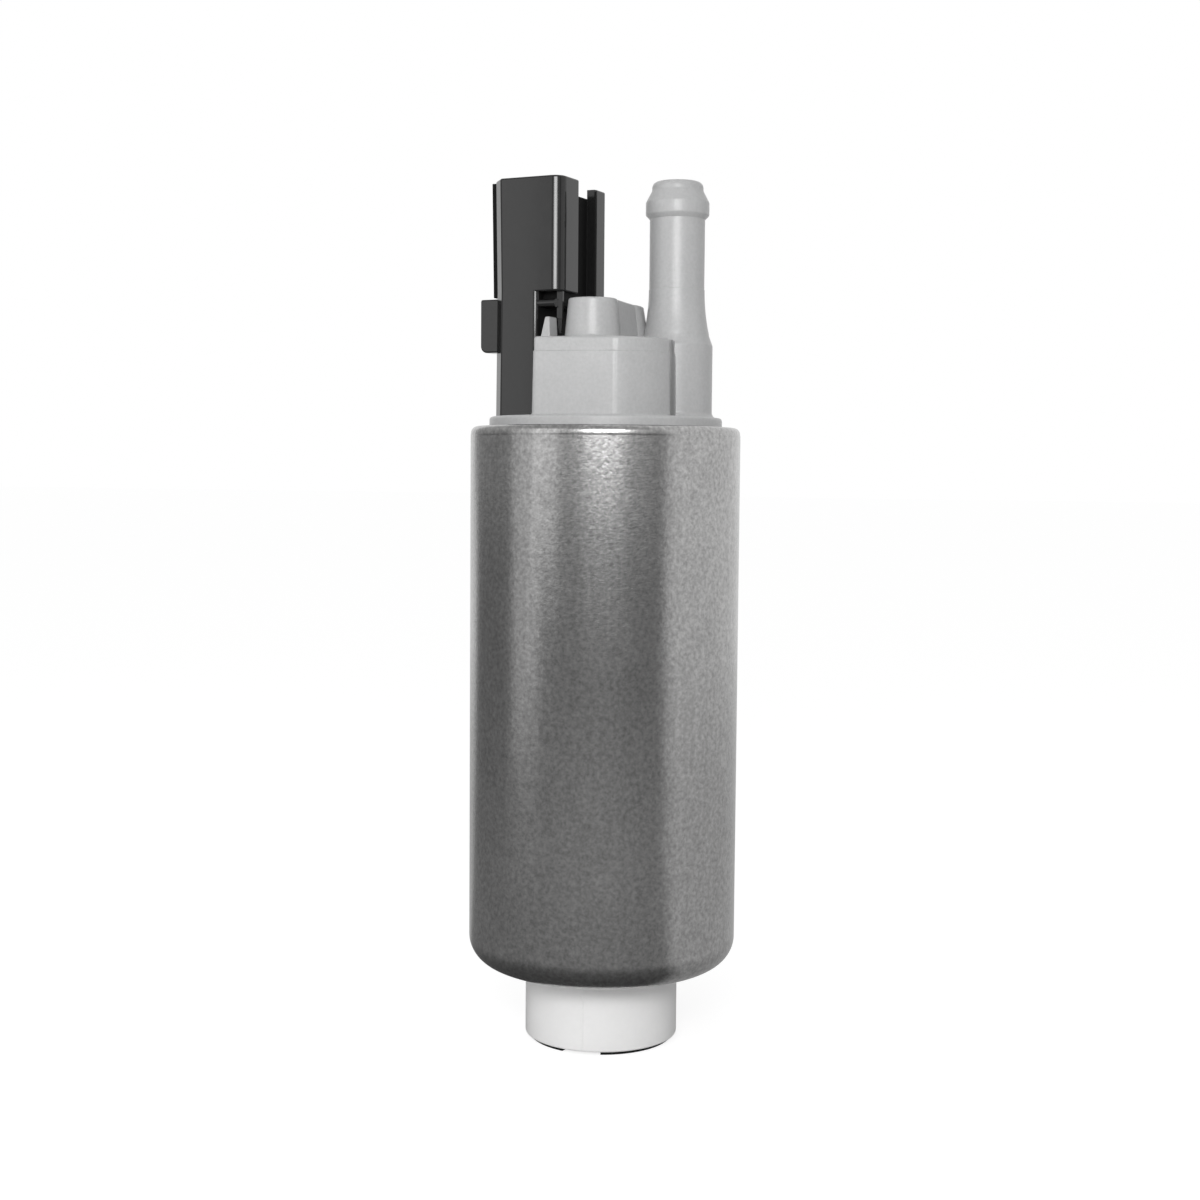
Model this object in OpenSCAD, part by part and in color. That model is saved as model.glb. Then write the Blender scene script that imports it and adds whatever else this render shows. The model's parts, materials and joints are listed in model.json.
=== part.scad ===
// Electric in-tank fuel pump: a steel can with a gerotor pumping stage at the foot, a brushed
// motor above it, a moulded outlet cover with a barbed outlet, and a clip-on connector shroud.
// The origin is on the can axis at the foot, +Z is up, and the connector is on the -X side.

/* [Can] */
// Outer diameter of the steel can
can_d = 39; // [38:0.5:41]
// Length of the can, bottom plane to lip
can_len = 78.2; // [76:0.1:84]
// Wall of the can
can_wall = 1.5; // [1.2:0.1:1.6]
// Outer radius of the turned-in bottom corner
can_corner_r = 4.1; // [3.5:0.1:5]
// Outer radius of the rolled lip
can_lip_r = 1.4; // [1.2:0.1:2]
// How far the rolled lip reaches inward from the outside of the can
can_lip_reach = 2.6; // [2.3:0.1:3]

/* [Inlet nose] */
// Outer diameter of the inlet nose
nose_d = 22.3; // [20:0.1:24]
// Length of the nose that stands out below the can
nose_len = 10.7; // [8:0.1:14]
// Diameter of the inlet bore
inlet_d = 11; // [9:0.5:12]
// Rounding of the bottom edge of the nose
nose_edge_r = 0.8; // [0.4:0.1:1.2]
// Thickness of the nose flange that the can clamps
nose_flange_t = 3.3; // [3:0.1:4]
// How far the seal ring stands out below the nose
seal_proud = 0.45; // [0.3:0.05:0.8]
// Outer diameter of the seal ring
seal_d = 19.8; // [17.5:0.1:19.8]
// Radial width of the seal ring
seal_w = 1.5; // [1:0.1:2]
// Angle of the gap in the seal ring
seal_gap_angle = 32; // [20:1:60]

/* [Gerotor stage] */
// Thickness of the inlet plate
inlet_plate_t = 3; // [2.6:0.1:4]
// Height of the cam ring
rotor_h = 8; // [7:0.1:10]
// Thickness of the outlet plate
outlet_plate_t = 3.5; // [3:0.1:4.5]
// Number of teeth in the outer rotor
outer_teeth = 7; // [7:1:7]
// Radius of the circle on which the tooth centres lie
tooth_circle_r = 9.5; // [9.2:0.1:9.8]
// Radius of each outer rotor tooth
tooth_r = 2.4; // [2.2:0.1:2.5]
// Offset between the rotor axes
rotor_offset = 0.95; // [0.8:0.05:1]
// Wall of the outer rotor behind its pockets
outer_rotor_wall = 3.4; // [3:0.1:3.6]

/* [Relief valve] */
// Diameter of the relief ball
relief_ball_d = 3.2; // [2.8:0.1:3.4]
// Diameter of the relief seat hole
relief_seat_d = 2.4; // [2:0.1:2.6]

/* [Motor] */
// Diameter of the armature shaft
shaft_d = 4; // [3.6:0.1:4.4]
// Diameter of the upper shaft journal
journal_d = 3; // [2.6:0.1:3.2]
// Thickness of the magnets
magnet_t = 3.4; // [2.8:0.1:4]
// Arc that each magnet covers
magnet_arc = 130; // [110:5:150]
// Air gap between the magnets and the armature core
air_gap = 0.6; // [0.4:0.1:1]
// Number of armature slots and commutator bars
slots = 8; // [6:1:10]
// Width of a tooth of the armature core
core_tooth_w = 2.6; // [2.2:0.1:3]
// Height of the winding heads
head_h = 3.5; // [3:0.1:4.5]
// Diameter of the commutator
comm_d = 16.4; // [15.8:0.1:18]
// Height of the commutator
comm_h = 4; // [3:0.1:5]
// Diameter of the drive coupling hub
coupling_d = 8.8; // [8.6:0.1:9.4]

/* [Brushes] */
// Diameter of a brush
brush_d = 4.2; // [3.8:0.1:4.3]
// Length of a brush
brush_len = 15; // [12:0.5:16]
// Distance of each brush from the can axis
brush_y = 5.4; // [5.3:0.1:5.6]
// Wire of the brush springs
brush_wire = 0.5; // [0.4:0.05:0.6]

/* [Outlet cover] */
// Depth of the cover inside the can
plug_h = 12; // [11:0.1:14]
// Height of the cover deck above the can lip
deck_rise = 1.4; // [1.2:0.1:2]
// Radius of the round drum on the deck
drum_r = 10.2; // [9.8:0.1:10.6]
// Height of the drum and its wings above the deck
drum_h = 11.1; // [9:0.1:13]
// Half width of the wings at the connector side
wing_y0 = 11.7; // [11:0.1:12]
// Half width of the wings at the outlet side
wing_y1 = 8.3; // [7.5:0.1:9]
// Distance of the wing corner from the can axis, towards the connector
wing_x0 = 5.8; // [5.2:0.1:6.2]
// Height of the brush boss above the drum
boss_h = 5.6; // [4:0.1:8]
// Radius of the ends of the brush boss at its top
boss_r = 3.5; // [3.4:0.1:4]
// Distance between the end centres of the brush boss
boss_spread = 8.8; // [8.4:0.1:9.2]

/* [Outlet barb] */
// Place of the outlet along X
barb_x = 8.1; // [7.4:0.1:8.4]
// Place of the outlet along Y
barb_y = 6.6; // [6.2:0.1:7.2]
// Height of the outlet tip above the deck
barb_h = 34.1; // [30:0.1:38]
// Diameter of the hose neck
neck_d = 8; // [7.6:0.1:8.6]
// Diameter of the barb
barb_d = 9.2; // [8.8:0.1:9.8]
// Diameter of the outlet tip
tip_d = 7.2; // [6.8:0.1:7.6]
// Diameter of the outlet bore
outlet_d = 5.2; // [4.6:0.1:5.4]
// Radius of the column under the barb
column_r = 5.3; // [5.1:0.1:5.8]

/* [Check valve] */
// Diameter of the valve chamber in the column
chamber_d = 6.8; // [6.4:0.1:7.2]
// Diameter of the hole in the valve seat
seat_hole_d = 4; // [3.4:0.1:4.4]
// Wire of the check valve spring
check_wire = 0.4; // [0.3:0.05:0.45]

/* [Connector] */
// Width of the connector shroud along X
conn_w = 11.9; // [11.4:0.1:12.4]
// Length of the connector shroud along Y
conn_l = 13.5; // [12.8:0.1:14]
// Distance of the outer face of the shroud from the can axis
conn_x = 15.9; // [15.4:0.1:16]
// Height of the shroud rim above the deck
conn_h = 34.1; // [31:0.1:36]
// Height of the leg under the shroud
leg_h = 18; // [17:0.1:19]
// Width of the leg along X
leg_w = 8; // [7.8:0.1:8.8]
// Depth of the socket
socket_depth = 12.1; // [10:0.1:14]
// Wall of the shroud
conn_wall = 1.3; // [1.1:0.1:1.5]
// Width of a terminal blade
blade_w = 2.8; // [2.4:0.1:3.2]
// Thickness of a terminal blade
blade_t = 0.8; // [0.6:0.1:1]
// Distance between the terminal blades
blade_pitch = 6; // [5.6:0.1:6.4]
// Depth of the blade tips below the rim
blade_below = 5.5; // [5:0.1:7]

/* [Hidden] */

$fn = 72;
over = 0.5;            // how far a cutting solid runs past the face it cuts

// Clearances
fit = 0.1;             // a piece that drops into the can or into its pocket
run = 0.03;            // a journal in its bearing, on the radius
slide = 0.08;          // a brush in its tube, on the radius
end_play = 0.05;       // a turning piece to the face beside it
touch = 0.02;          // a valve to its seat
rotor_play = 0.05;     // between the rotor tooth flanks

// Radii inside the can
can_r = can_d / 2;
bore_r = can_r - can_wall;
stack_r = bore_r - fit;
magnet_r = stack_r - magnet_t;
core_r = magnet_r - air_gap;
lip_bore_r = can_r - can_lip_reach;
flange_r = lip_bore_r - fit;
nose_r = nose_d / 2;
shaft_r = shaft_d / 2;
journal_r = journal_d / 2;

// Levels, from the foot up
z_can = seal_proud + nose_len;
z_lip = z_can + can_len;
z_nose_flange = z_can + can_wall;
z_inlet_plate = z_nose_flange + nose_flange_t;
z_rotor = z_inlet_plate + inlet_plate_t;
z_outlet_plate = z_rotor + rotor_h;
z_pump_top = z_outlet_plate + outlet_plate_t;
lip_t = can_wall;
z_plug = z_lip - lip_t - plug_h;
z_deck = z_lip + deck_rise;
z_drum = z_deck + drum_h;
z_boss = z_drum + boss_h;
z_tip = z_deck + barb_h;

// Motor levels
washer_t = 0.6;
coupling_flange_t = 1.2;
z_coupling_flange = z_pump_top + washer_t + 3 * end_play;
z_head_low = z_coupling_flange + coupling_flange_t + 0.3;
z_core = z_head_low + head_h;
brush_bare = 2.5;
z_comm_top = z_plug - brush_bare;
z_comm = z_comm_top - comm_h;
z_core_top = z_comm - 0.8 - head_h;
z_shaft_end = z_plug + 5;
z_shaft_step = z_plug - 1;

// Gerotor
lobes = outer_teeth - 1;
pocket_r = tooth_circle_r - tooth_r + 2 * rotor_offset + rotor_play;
outer_rotor_r = pocket_r + outer_rotor_wall;
rotor_steps = 48;      // outline points on each lobe of the inner rotor
drive_pins = 3;
drive_pin_r = 0.8;
drive_pin_circle = coupling_d / 2 - drive_pin_r - 0.2;

// Relief valve, in the thick side of the cam ring
relief_x = (outer_rotor_r - rotor_offset + stack_r) / 2;
relief_bore_r = relief_ball_d / 2 + 0.3;
relief_wire = 0.35;
relief_z = z_outlet_plate - touch
    - sqrt(pow(relief_ball_d / 2, 2) - pow(relief_seat_d / 2, 2));
relief_coil_r = relief_ball_d / 2 - 0.35;

// Brushes and their tubes
brush_r = brush_d / 2;
tube_r = brush_r + slide;
z_brush = z_comm_top + end_play;
z_brush_top = z_brush + brush_len;
z_tube_top = z_boss - 2;

// Check valve
z_chamber_top = z_drum + 2.6;
seat_len = 8;
z_seat = z_deck + 1.6;
chamber_r = chamber_d / 2;
poppet_t = 1.8;
poppet_lift = 2.5;
poppet_r = chamber_r - 0.2;
z_poppet = z_seat + touch;

// Connector
conn_in = conn_x - conn_w;            // distance of the inner face from the can axis
leg_in = conn_x - leg_w;
z_rim = z_deck + conn_h;
z_leg = z_deck + leg_h;
z_socket = z_rim - socket_depth;
socket_w = conn_w - 2 * conn_wall - 1.2;
socket_l = conn_l - 2 * conn_wall;
blade_x = -(conn_x - conn_wall - socket_w / 2);
z_blade_tip = z_rim - blade_below;
z_blade_foot = z_deck - 4;
slot_play = 0.1;

// Chokes, under the terminal blades
choke_r = 1.3;
choke_wire = 0.6;
choke_pocket_r = 2.3;
z_choke = z_plug + 2;

steel = "silver";
cover_grey = [0.66, 0.66, 0.66];
black = [0.16, 0.16, 0.17];
white = [0.9, 0.9, 0.88];
iron = [0.45, 0.45, 0.47];
copper = [0.72, 0.42, 0.2];

// A ring about +Z
module ring(r_out, r_in, z0, z1) {
    translate([0, 0, z0]) difference() {
        cylinder(r = r_out, h = z1 - z0);
        translate([0, 0, -over]) cylinder(r = r_in, h = z1 - z0 + 2 * over);
    }
}

// A round bar or a round cutter about +Z
module bar(r, z0, z1) {
    translate([0, 0, z0]) cylinder(r = r, h = z1 - z0);
}

// A box between two corners
module block(low, high) {
    translate(low) cube(high - low);
}

// Half profile of a can: a corner radius below and another above
module can_profile(r, z0, z1, corner, lip) {
    intersection() {
        union() {
            translate([0, z0]) square([r - corner, corner]);
            translate([0, z0 + corner]) square([r, z1 - z0 - corner - lip]);
            translate([0, z1 - lip]) square([r - lip, lip]);
            translate([r - corner, z0 + corner]) circle(r = corner);
            translate([r - lip, z1 - lip]) circle(r = lip);
        }
        translate([0, z0]) square([r, z1 - z0]);
    }
}

// Helical wire from z0 to z1 with round cross section, its ends a quarter wire inside
function coil_point(r, z0, z1, turns, a) =
    [r * cos(a), r * sin(a), z0 + (z1 - z0) * a / (360 * turns)];

module coil(r, wire_d, z0, z1, turns, rings = 8, sides = 6) {
    n = turns * rings;
    low = z0 + wire_d / 2;
    high = z1 - wire_d / 2;
    slope = atan2(high - low, 2 * PI * r * turns);
    points = [for (i = [0:n]) for (k = [0:sides - 1])
        let (a = i * 360 / rings, b = k * 360 / sides, c = coil_point(r, low, high, turns, a),
            out = wire_d / 2 * cos(b), up = wire_d / 2 * sin(b))
        c + out * [cos(a), sin(a), 0]
            + up * [sin(a) * sin(slope), -cos(a) * sin(slope), cos(slope)]];
    walls = [for (i = [0:n - 1]) for (k = [0:sides - 1])
        let (p = i * sides + k, q = i * sides + (k + 1) % sides)
        each [[q, q + sides, p], [q + sides, p + sides, p]]];
    first = [for (k = [1:sides - 2]) [k + 1, k, 0]];
    last = [for (k = [1:sides - 2]) n * sides * [1, 1, 1] + [k, k + 1, 0]];
    polyhedron(points = points, faces = concat(walls, first, last), convexity = 12);
}

// Can with its bottom turned in under the nose flange and its lip rolled over the cover
module pump_shell() {
    color(steel) difference() {
        rotate_extrude() can_profile(can_r, z_can, z_lip, can_corner_r, can_lip_r);
        rotate_extrude() can_profile(bore_r, z_nose_flange, z_lip - lip_t,
            can_corner_r - can_wall, fit);
        bar(nose_r + fit, z_can - over, z_nose_flange + over);
        bar(lip_bore_r, z_lip - lip_t - over, z_lip + over);
    }
}

// Nose with the inlet bore, the clamped flange and the plenum under the inlet port
plenum_r = tooth_circle_r;
plenum_h = 2.2;
seal_groove_h = 1.6;
nose_root = 0.2;       // depth and height of the relief under the can's bottom

module inlet_nose() {
    color(white) difference() {
        union() {
            rotate_extrude() can_profile(nose_r, seal_proud, z_inlet_plate - 1, nose_edge_r, fit);
            rotate_extrude() can_profile(stack_r, z_nose_flange, z_inlet_plate,
                can_corner_r - can_wall, 0.2);
        }
        bar(inlet_d / 2, -over, z_inlet_plate + over);
        bar(plenum_r, z_inlet_plate - plenum_h, z_inlet_plate + over);
        ring(seal_d / 2 + fit, seal_d / 2 - seal_w - fit, -over, seal_proud + seal_groove_h);
        ring(nose_r + over, nose_r - nose_root, z_can - nose_root, z_nose_flange);
        block([0, -relief_seat_d / 2, z_inlet_plate - plenum_h],
            [relief_x + relief_seat_d / 2, relief_seat_d / 2, z_inlet_plate + over]);
    }
}

// Rubber ring in the foot of the nose, open over one short arc
seal_gap_at = -80;     // direction of the middle of the gap

module inlet_seal() {
    color(black) rotate([0, 0, seal_gap_at + seal_gap_angle / 2])
        rotate_extrude(angle = 360 - seal_gap_angle)
            translate([seal_d / 2 - seal_w, 0]) square([seal_w, seal_proud + seal_groove_h]);
}

// Kidney port through a plate, on the +Y or the -Y side of the rotors
port_arc = 118;

module kidney(z0, z1, side) {
    port_in = tooth_circle_r - tooth_r - rotor_offset + 0.2;
    port_out = pocket_r - 0.4;
    translate([-rotor_offset / 2, 0, z0]) rotate([0, 0, side * 90 - port_arc / 2]) {
        rotate_extrude(angle = port_arc) translate([port_in, 0]) square([port_out - port_in, z1 - z0]);
    }
}

module inlet_plate() {
    color(iron) difference() {
        bar(stack_r, z_inlet_plate, z_rotor);
        kidney(z_inlet_plate - over, z_rotor + over, 1);
        bar(shaft_r + run, z_inlet_plate + 1, z_rotor + over);
        translate([relief_x, 0, 0]) bar(relief_coil_r - relief_wire, z_inlet_plate - over, z_rotor + over);
    }
}

// Ring with the eccentric bore that carries the outer rotor
module cam_ring() {
    color(steel) difference() {
        bar(stack_r, z_rotor, z_outlet_plate);
        translate([-rotor_offset, 0, 0])
            bar(outer_rotor_r + run, z_rotor - over, z_outlet_plate + over);
        translate([relief_x, 0, 0]) bar(relief_bore_r, z_rotor - over, z_outlet_plate + over);
    }
}

// Outer rotor: a pocketed bore with round teeth standing in it
module outer_rotor() {
    color("dimgray") translate([-rotor_offset, 0, z_rotor + end_play])
        linear_extrude(rotor_h - 2 * end_play) difference() {
            circle(r = outer_rotor_r);
            difference() {
                circle(r = pocket_r);
                for (i = [0:outer_teeth - 1]) rotate(i * 360 / outer_teeth)
                    translate([tooth_circle_r, 0]) circle(r = tooth_r);
            }
        }
}

// Point of the inner rotor outline, which rolls inside the outer rotor's teeth
function lobe_point(a) =
    let (s = tooth_r + rotor_play,
        lead = atan2(sin(-lobes * a),
            tooth_circle_r / (rotor_offset * outer_teeth) - cos(-lobes * a)))
    [tooth_circle_r * cos(a) - s * cos(a + lead) - rotor_offset * cos(outer_teeth * a),
        -tooth_circle_r * sin(a) + s * sin(a + lead) + rotor_offset * sin(outer_teeth * a)];

module inner_rotor() {
    count = lobes * rotor_steps;
    color("gray") difference() {
        translate([0, 0, z_rotor + end_play]) linear_extrude(rotor_h - 2 * end_play)
            polygon([for (i = [0:count - 1]) lobe_point(i * 360 / count)]);
        bar(shaft_r + 0.01, z_rotor - over, z_outlet_plate + over);
        drive_pins_at() bar(drive_pin_r + slide, z_rotor - over, z_outlet_plate + over);
    }
}

module drive_pins_at() {
    for (i = [0:drive_pins - 1]) rotate([0, 0, i * 360 / drive_pins])
        translate([drive_pin_circle, 0, 0]) children();
}

bushing_wall = 1;

module outlet_plate() {
    color(iron) difference() {
        bar(stack_r, z_outlet_plate, z_pump_top);
        kidney(z_outlet_plate - over, z_pump_top + over, -1);
        bar(coupling_d / 2 + run + bushing_wall, z_outlet_plate - over, z_pump_top + over);
        translate([relief_x, 0, 0]) bar(relief_seat_d / 2, z_outlet_plate - over, z_pump_top + over);
    }
}

module relief_ball() {
    color(steel) translate([relief_x, 0, relief_z]) sphere(d = relief_ball_d);
}

module relief_spring() {
    reach = sqrt(pow(relief_ball_d / 2 + relief_wire / 2, 2) - pow(relief_coil_r, 2));
    color(steel) translate([relief_x, 0, 0])
        coil(relief_coil_r, relief_wire, z_rotor + end_play,
            relief_z - reach + relief_wire / 2 - touch, 4);
}

module lower_bearing() {
    color("goldenrod") ring(coupling_d / 2 + run + bushing_wall - 0.01, coupling_d / 2 + run,
        z_outlet_plate + end_play, z_pump_top);
}

washer_r = coupling_d / 2 + bushing_wall + 1.4;

module thrust_washer() {
    color("dimgray") ring(washer_r, coupling_d / 2 + 0.2, z_pump_top, z_pump_top + washer_t);
}

// Hub, flange and pins that turn the inner rotor
module drive_coupling() {
    color(black) {
        difference() {
            union() {
                bar(coupling_d / 2, z_outlet_plate + end_play,
                    z_coupling_flange + coupling_flange_t);
                bar(washer_r, z_coupling_flange, z_coupling_flange + coupling_flange_t);
                drive_pins_at() bar(drive_pin_r, z_rotor + 1, z_outlet_plate + over);
            }
            bar(shaft_r + 0.01, z_rotor - over, z_core);
        }
    }
}

module armature_shaft() {
    color(steel) union() {
        bar(shaft_r, z_inlet_plate + 1 + end_play, z_shaft_step);
        bar(journal_r, z_shaft_step - over, z_shaft_end);
    }
}

// Lamination outline: hub, teeth and the arc shoe on each tooth
core_hub_r = 5.4;
shoe_t = 1.3;
slot_mouth = 1.8;

module slot_wedge(gap) {
    half = 180 / slots;
    tooth = core_tooth_w / 2 + gap;
    r_low = core_hub_r + gap;
    r_high = core_r - shoe_t - gap;
    intersection() {
        difference() {
            circle(r = r_high);
            circle(r = r_low);
        }
        translate([tooth / sin(half), 0])
            polygon([[0, 0], 2 * core_r * [cos(half), sin(half)], 2 * core_r * [cos(half), -sin(half)]]);
    }
}

module lamination() {
    difference() {
        circle(r = core_r);
        circle(r = shaft_r + 0.01);
        for (i = [0:slots - 1]) rotate((i + 0.5) * 360 / slots) {
            slot_wedge(0);
            translate([core_r - shoe_t - 1, -slot_mouth / 2]) square([shoe_t + 2, slot_mouth]);
        }
    }
}

module armature_core() {
    color(iron) translate([0, 0, z_core]) linear_extrude(z_core_top - z_core) lamination();
}

// Coils: a bundle in every slot and a rounded head on each side, parted between the coils
slot_liner = 0.2;

module winding_head(z0) {
    r_low = core_hub_r + slot_liner;
    r_high = core_r - shoe_t - slot_liner;
    edge = 1.2;
    translate([0, 0, z0]) difference() {
        rotate_extrude() union() {
            translate([r_low + edge, 0]) square([r_high - r_low - 2 * edge, head_h - slot_liner]);
            translate([r_low, edge]) square([r_high - r_low, head_h - slot_liner - 2 * edge]);
            for (x = [r_low + edge, r_high - edge], y = [edge, head_h - slot_liner - edge])
                translate([x, y]) circle(r = edge);
        }
        for (i = [0:slots - 1]) rotate([0, 0, i * 360 / slots])
            block([r_low + edge, -0.3, head_h - slot_liner - 0.8], [core_r, 0.3, head_h]);
    }
}

module armature_winding() {
    color(copper) union() {
        translate([0, 0, z_head_low]) winding_head(0);
        translate([0, 0, z_core_top + slot_liner]) winding_head(0);
        translate([0, 0, z_head_low + 1]) linear_extrude(z_core_top - z_head_low)
            for (i = [0:slots - 1]) rotate((i + 0.5) * 360 / slots) slot_wedge(slot_liner);
    }
}

// Flat commutator: bars on its top face, parted by saw cuts
module commutator() {
    cut = 0.5;
    color([0.3, 0.27, 0.25]) difference() {
        union() {
            bar(comm_d / 2, z_comm + 1.2, z_comm_top);
            bar(comm_d / 2 - 1.5, z_comm, z_comm + 1.5);
        }
        bar(shaft_r + 0.01, z_comm - over, z_comm_top + over);
        for (i = [0:slots - 1]) rotate([0, 0, (i + 0.5) * 360 / slots])
            block([shaft_r + 0.6, -cut / 2, z_comm_top - 1], [comm_d, cut / 2, z_comm_top + over]);
    }
}

module magnet(at) {
    color([0.28, 0.28, 0.3]) translate([0, 0, z_core - 1.5]) rotate([0, 0, at - magnet_arc / 2])
        rotate_extrude(angle = magnet_arc) translate([magnet_r, 0])
            square([magnet_t, z_core_top - z_core + 2.5]);
}

module magnet_front() {
    magnet(-90);
}

module magnet_rear() {
    magnet(90);
}

// Sprung strips that push the magnets apart, one on each side
module magnet_spring() {
    strip_t = 0.5;
    gap = 180 - magnet_arc;
    leg = 3;
    color(steel) translate([0, 0, z_core]) for (side = [0, 180])
        rotate([0, 0, side - gap / 2]) {
            rotate_extrude(angle = gap) translate([stack_r - strip_t, 0])
                square([strip_t, z_core_top - z_core]);
            rotate_extrude(angle = leg) translate([magnet_r + 0.6, 0])
                square([magnet_t - 0.7, z_core_top - z_core]);
            rotate([0, 0, gap - leg]) rotate_extrude(angle = leg) translate([magnet_r + 0.6, 0])
                square([magnet_t - 0.7, z_core_top - z_core]);
        }
}

bearing_wall = 1.2;
bearing_h = 4.6;

module upper_bearing() {
    color("goldenrod") ring(journal_r + run + bearing_wall - 0.01, journal_r + run,
        z_plug, z_plug + bearing_h);
}

module brush(side) {
    color([0.2, 0.2, 0.2]) translate([0, side * brush_y, 0]) bar(brush_r, z_brush, z_brush_top);
}

module brush_positive() {
    brush(1);
}

module brush_negative() {
    brush(-1);
}

module brush_spring(side) {
    color(steel) translate([0, side * brush_y, 0])
        coil(brush_r - brush_wire / 2 - 0.1, brush_wire, z_brush_top + touch, z_tube_top - touch, 9);
}

module brush_spring_positive() {
    brush_spring(1);
}

module brush_spring_negative() {
    brush_spring(-1);
}

// Ferrite rod with its winding, under a terminal blade
module choke(side) {
    rod_top = z_blade_foot - touch;
    color([0.35, 0.3, 0.28]) translate([blade_x, side * blade_pitch / 2, 0]) union() {
        bar(choke_r, z_choke, rod_top);
        coil(choke_r + choke_wire / 2 + 0.03, choke_wire, z_choke + 0.6, rod_top - 0.6, 7);
    }
}

module choke_positive() {
    choke(1);
}

module choke_negative() {
    choke(-1);
}

module terminal(side) {
    chamfer = blade_w / 4;
    half = blade_w / 2;
    color("gainsboro") translate([blade_x, side * blade_pitch / 2 + blade_t / 2, 0])
        rotate([90, 0, 0]) linear_extrude(blade_t) polygon([[-half, z_blade_foot],
            [half, z_blade_foot], [half, z_blade_tip - chamfer], [half - chamfer, z_blade_tip],
            [chamfer - half, z_blade_tip], [-half, z_blade_tip - chamfer]]);
}

module terminal_positive() {
    terminal(1);
}

module terminal_negative() {
    terminal(-1);
}

// Plan of the drum with its wings, grown by a little below the witness line
module drum_plan(grow) {
    union() {
        intersection() {
            circle(r = drum_r + grow);
            translate([-leg_in + fit, -2 * drum_r]) square(4 * drum_r);
        }
        polygon([[-wing_x0 - grow, -wing_y0 - grow], [wing_x0 + grow, -wing_y1 - grow],
            [wing_x0 + grow, wing_y1 + grow], [-wing_x0 - grow, wing_y0 + grow]]);
    }
}

// Column, flare, hose neck, barb and tip as one turned profile
flare_h = 6.4;
flare_r = 0.7;
flare_steps = 6;
column_rise = 1.1;      // top of the column's sloping shoulder above the drum
shoulder_h = 1.5;
foot_r = 1;
barb_cone_h = 3.6;
barb_land = 1;
barb_under = 0.7;

module outlet_profile() {
    neck_r = neck_d / 2;
    z_column = z_drum + column_rise;
    z_neck = z_column + flare_h;
    flare_arc = (flare_h * flare_h + flare_r * flare_r) / (2 * flare_r);
    z_barb = z_tip - barb_cone_h;
    polygon([[0, 0], [column_r, 0], [column_r, z_column - shoulder_h],
        [neck_r + flare_r, z_column], [0, z_column]]);
    difference() {
        translate([0, z_deck - over]) square([column_r + foot_r, foot_r + over]);
        translate([column_r + foot_r, z_deck + foot_r]) circle(r = foot_r);
    }
    polygon(concat([[0, z_neck], [0, z_column - over]], [for (i = [flare_steps:-1:0])
        let (a = i * asin(flare_h / flare_arc) / flare_steps)
        [neck_r + flare_arc * (1 - cos(a)), z_neck - flare_arc * sin(a)]]));
    polygon([[0, z_neck - 1], [neck_r, z_neck - 1], [neck_r, z_barb - barb_land - barb_under],
        [barb_d / 2, z_barb - barb_land], [barb_d / 2, z_barb], [tip_d / 2, z_tip - 0.3],
        [tip_d / 2 - 0.3, z_tip], [0, z_tip]]);
}

deck_edge = 0.4;
witness = 0.12;        // the drum steps out by this below its witness line
witness_drop = 2.2;
seal_wire = 1.8;       // section of the cover seal
seal_rise = 4;         // cover's lower face to the groove of its seal
seal_play = 0.2;       // above and below the seal in its groove
boss_draft = 5;
boss_edge = 0.4;       // chamfer round the top of the boss

module outlet_cover() {
    flange_land = z_deck - deck_edge;
    color(cover_grey) difference() {
        union() {
            bar(stack_r, z_plug, z_lip - lip_t - touch);
            bar(flange_r, z_lip - lip_t - over, flange_land);
            translate([0, 0, flange_land - touch])
                cylinder(r1 = flange_r, r2 = flange_r - 1, h = deck_edge + touch);
            translate([0, 0, z_deck - over]) linear_extrude(drum_h + over) drum_plan(0);
            translate([0, 0, z_deck - over]) linear_extrude(drum_h - witness_drop + over)
                drum_plan(witness);
            intersection() {
                translate([barb_x, barb_y, 0]) rotate_extrude() outlet_profile();
                block([-can_r, -can_r, z_plug + over], [can_r, can_r, z_tip + over]);
            }
            brush_boss();
            latch_peg();
        }
        for (side = [-1, 1]) {
            translate([0, side * brush_y, 0]) bar(tube_r, z_plug - over, z_tube_top);
            translate([blade_x, side * blade_pitch / 2, 0]) {
                bar(choke_pocket_r, z_plug - over, z_blade_foot + 0.5);
                block([-blade_w / 2 - slot_play, -blade_t / 2 - slot_play, z_blade_foot],
                    [blade_w / 2 + slot_play, blade_t / 2 + slot_play, z_deck + over]);
            }
        }
        bar(journal_r + run + bearing_wall, z_plug - over, z_shaft_end + 1);
        translate([barb_x, barb_y, 0]) {
            bar(chamber_r, z_plug - over, z_chamber_top);
            bar(outlet_d / 2, z_chamber_top - over, z_tip + over);
        }
        ring(can_r, stack_r - seal_wire, z_plug + seal_rise,
            z_plug + seal_rise + seal_wire + 2 * seal_play);
    }
}

// Tapered boss over the two brush tubes
module brush_boss() {
    spread = boss_spread / 2;
    low_r = boss_r + (boss_h + 1 - boss_edge) * tan(boss_draft);
    side_line = [[low_r, z_drum - 1], [boss_r, z_boss - boss_edge], [boss_r - boss_edge, z_boss]];
    for (side = [-1, 1]) translate([0, side * spread, 0]) rotate_extrude()
        polygon(concat([[0, z_boss], [0, z_drum - 1]], side_line));
    translate([0, spread, 0]) rotate([90, 0, 0]) linear_extrude(boss_spread)
        polygon(concat(side_line, [for (i = [2:-1:0]) [-side_line[i][0], side_line[i][1]]]));
}

// Short tapered peg that the connector's finger hooks behind
peg_x = -4.6;
peg_y = -7.1;
peg_h = 3;

peg_w = 2.1;
peg_top_w = 1.5;

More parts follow.
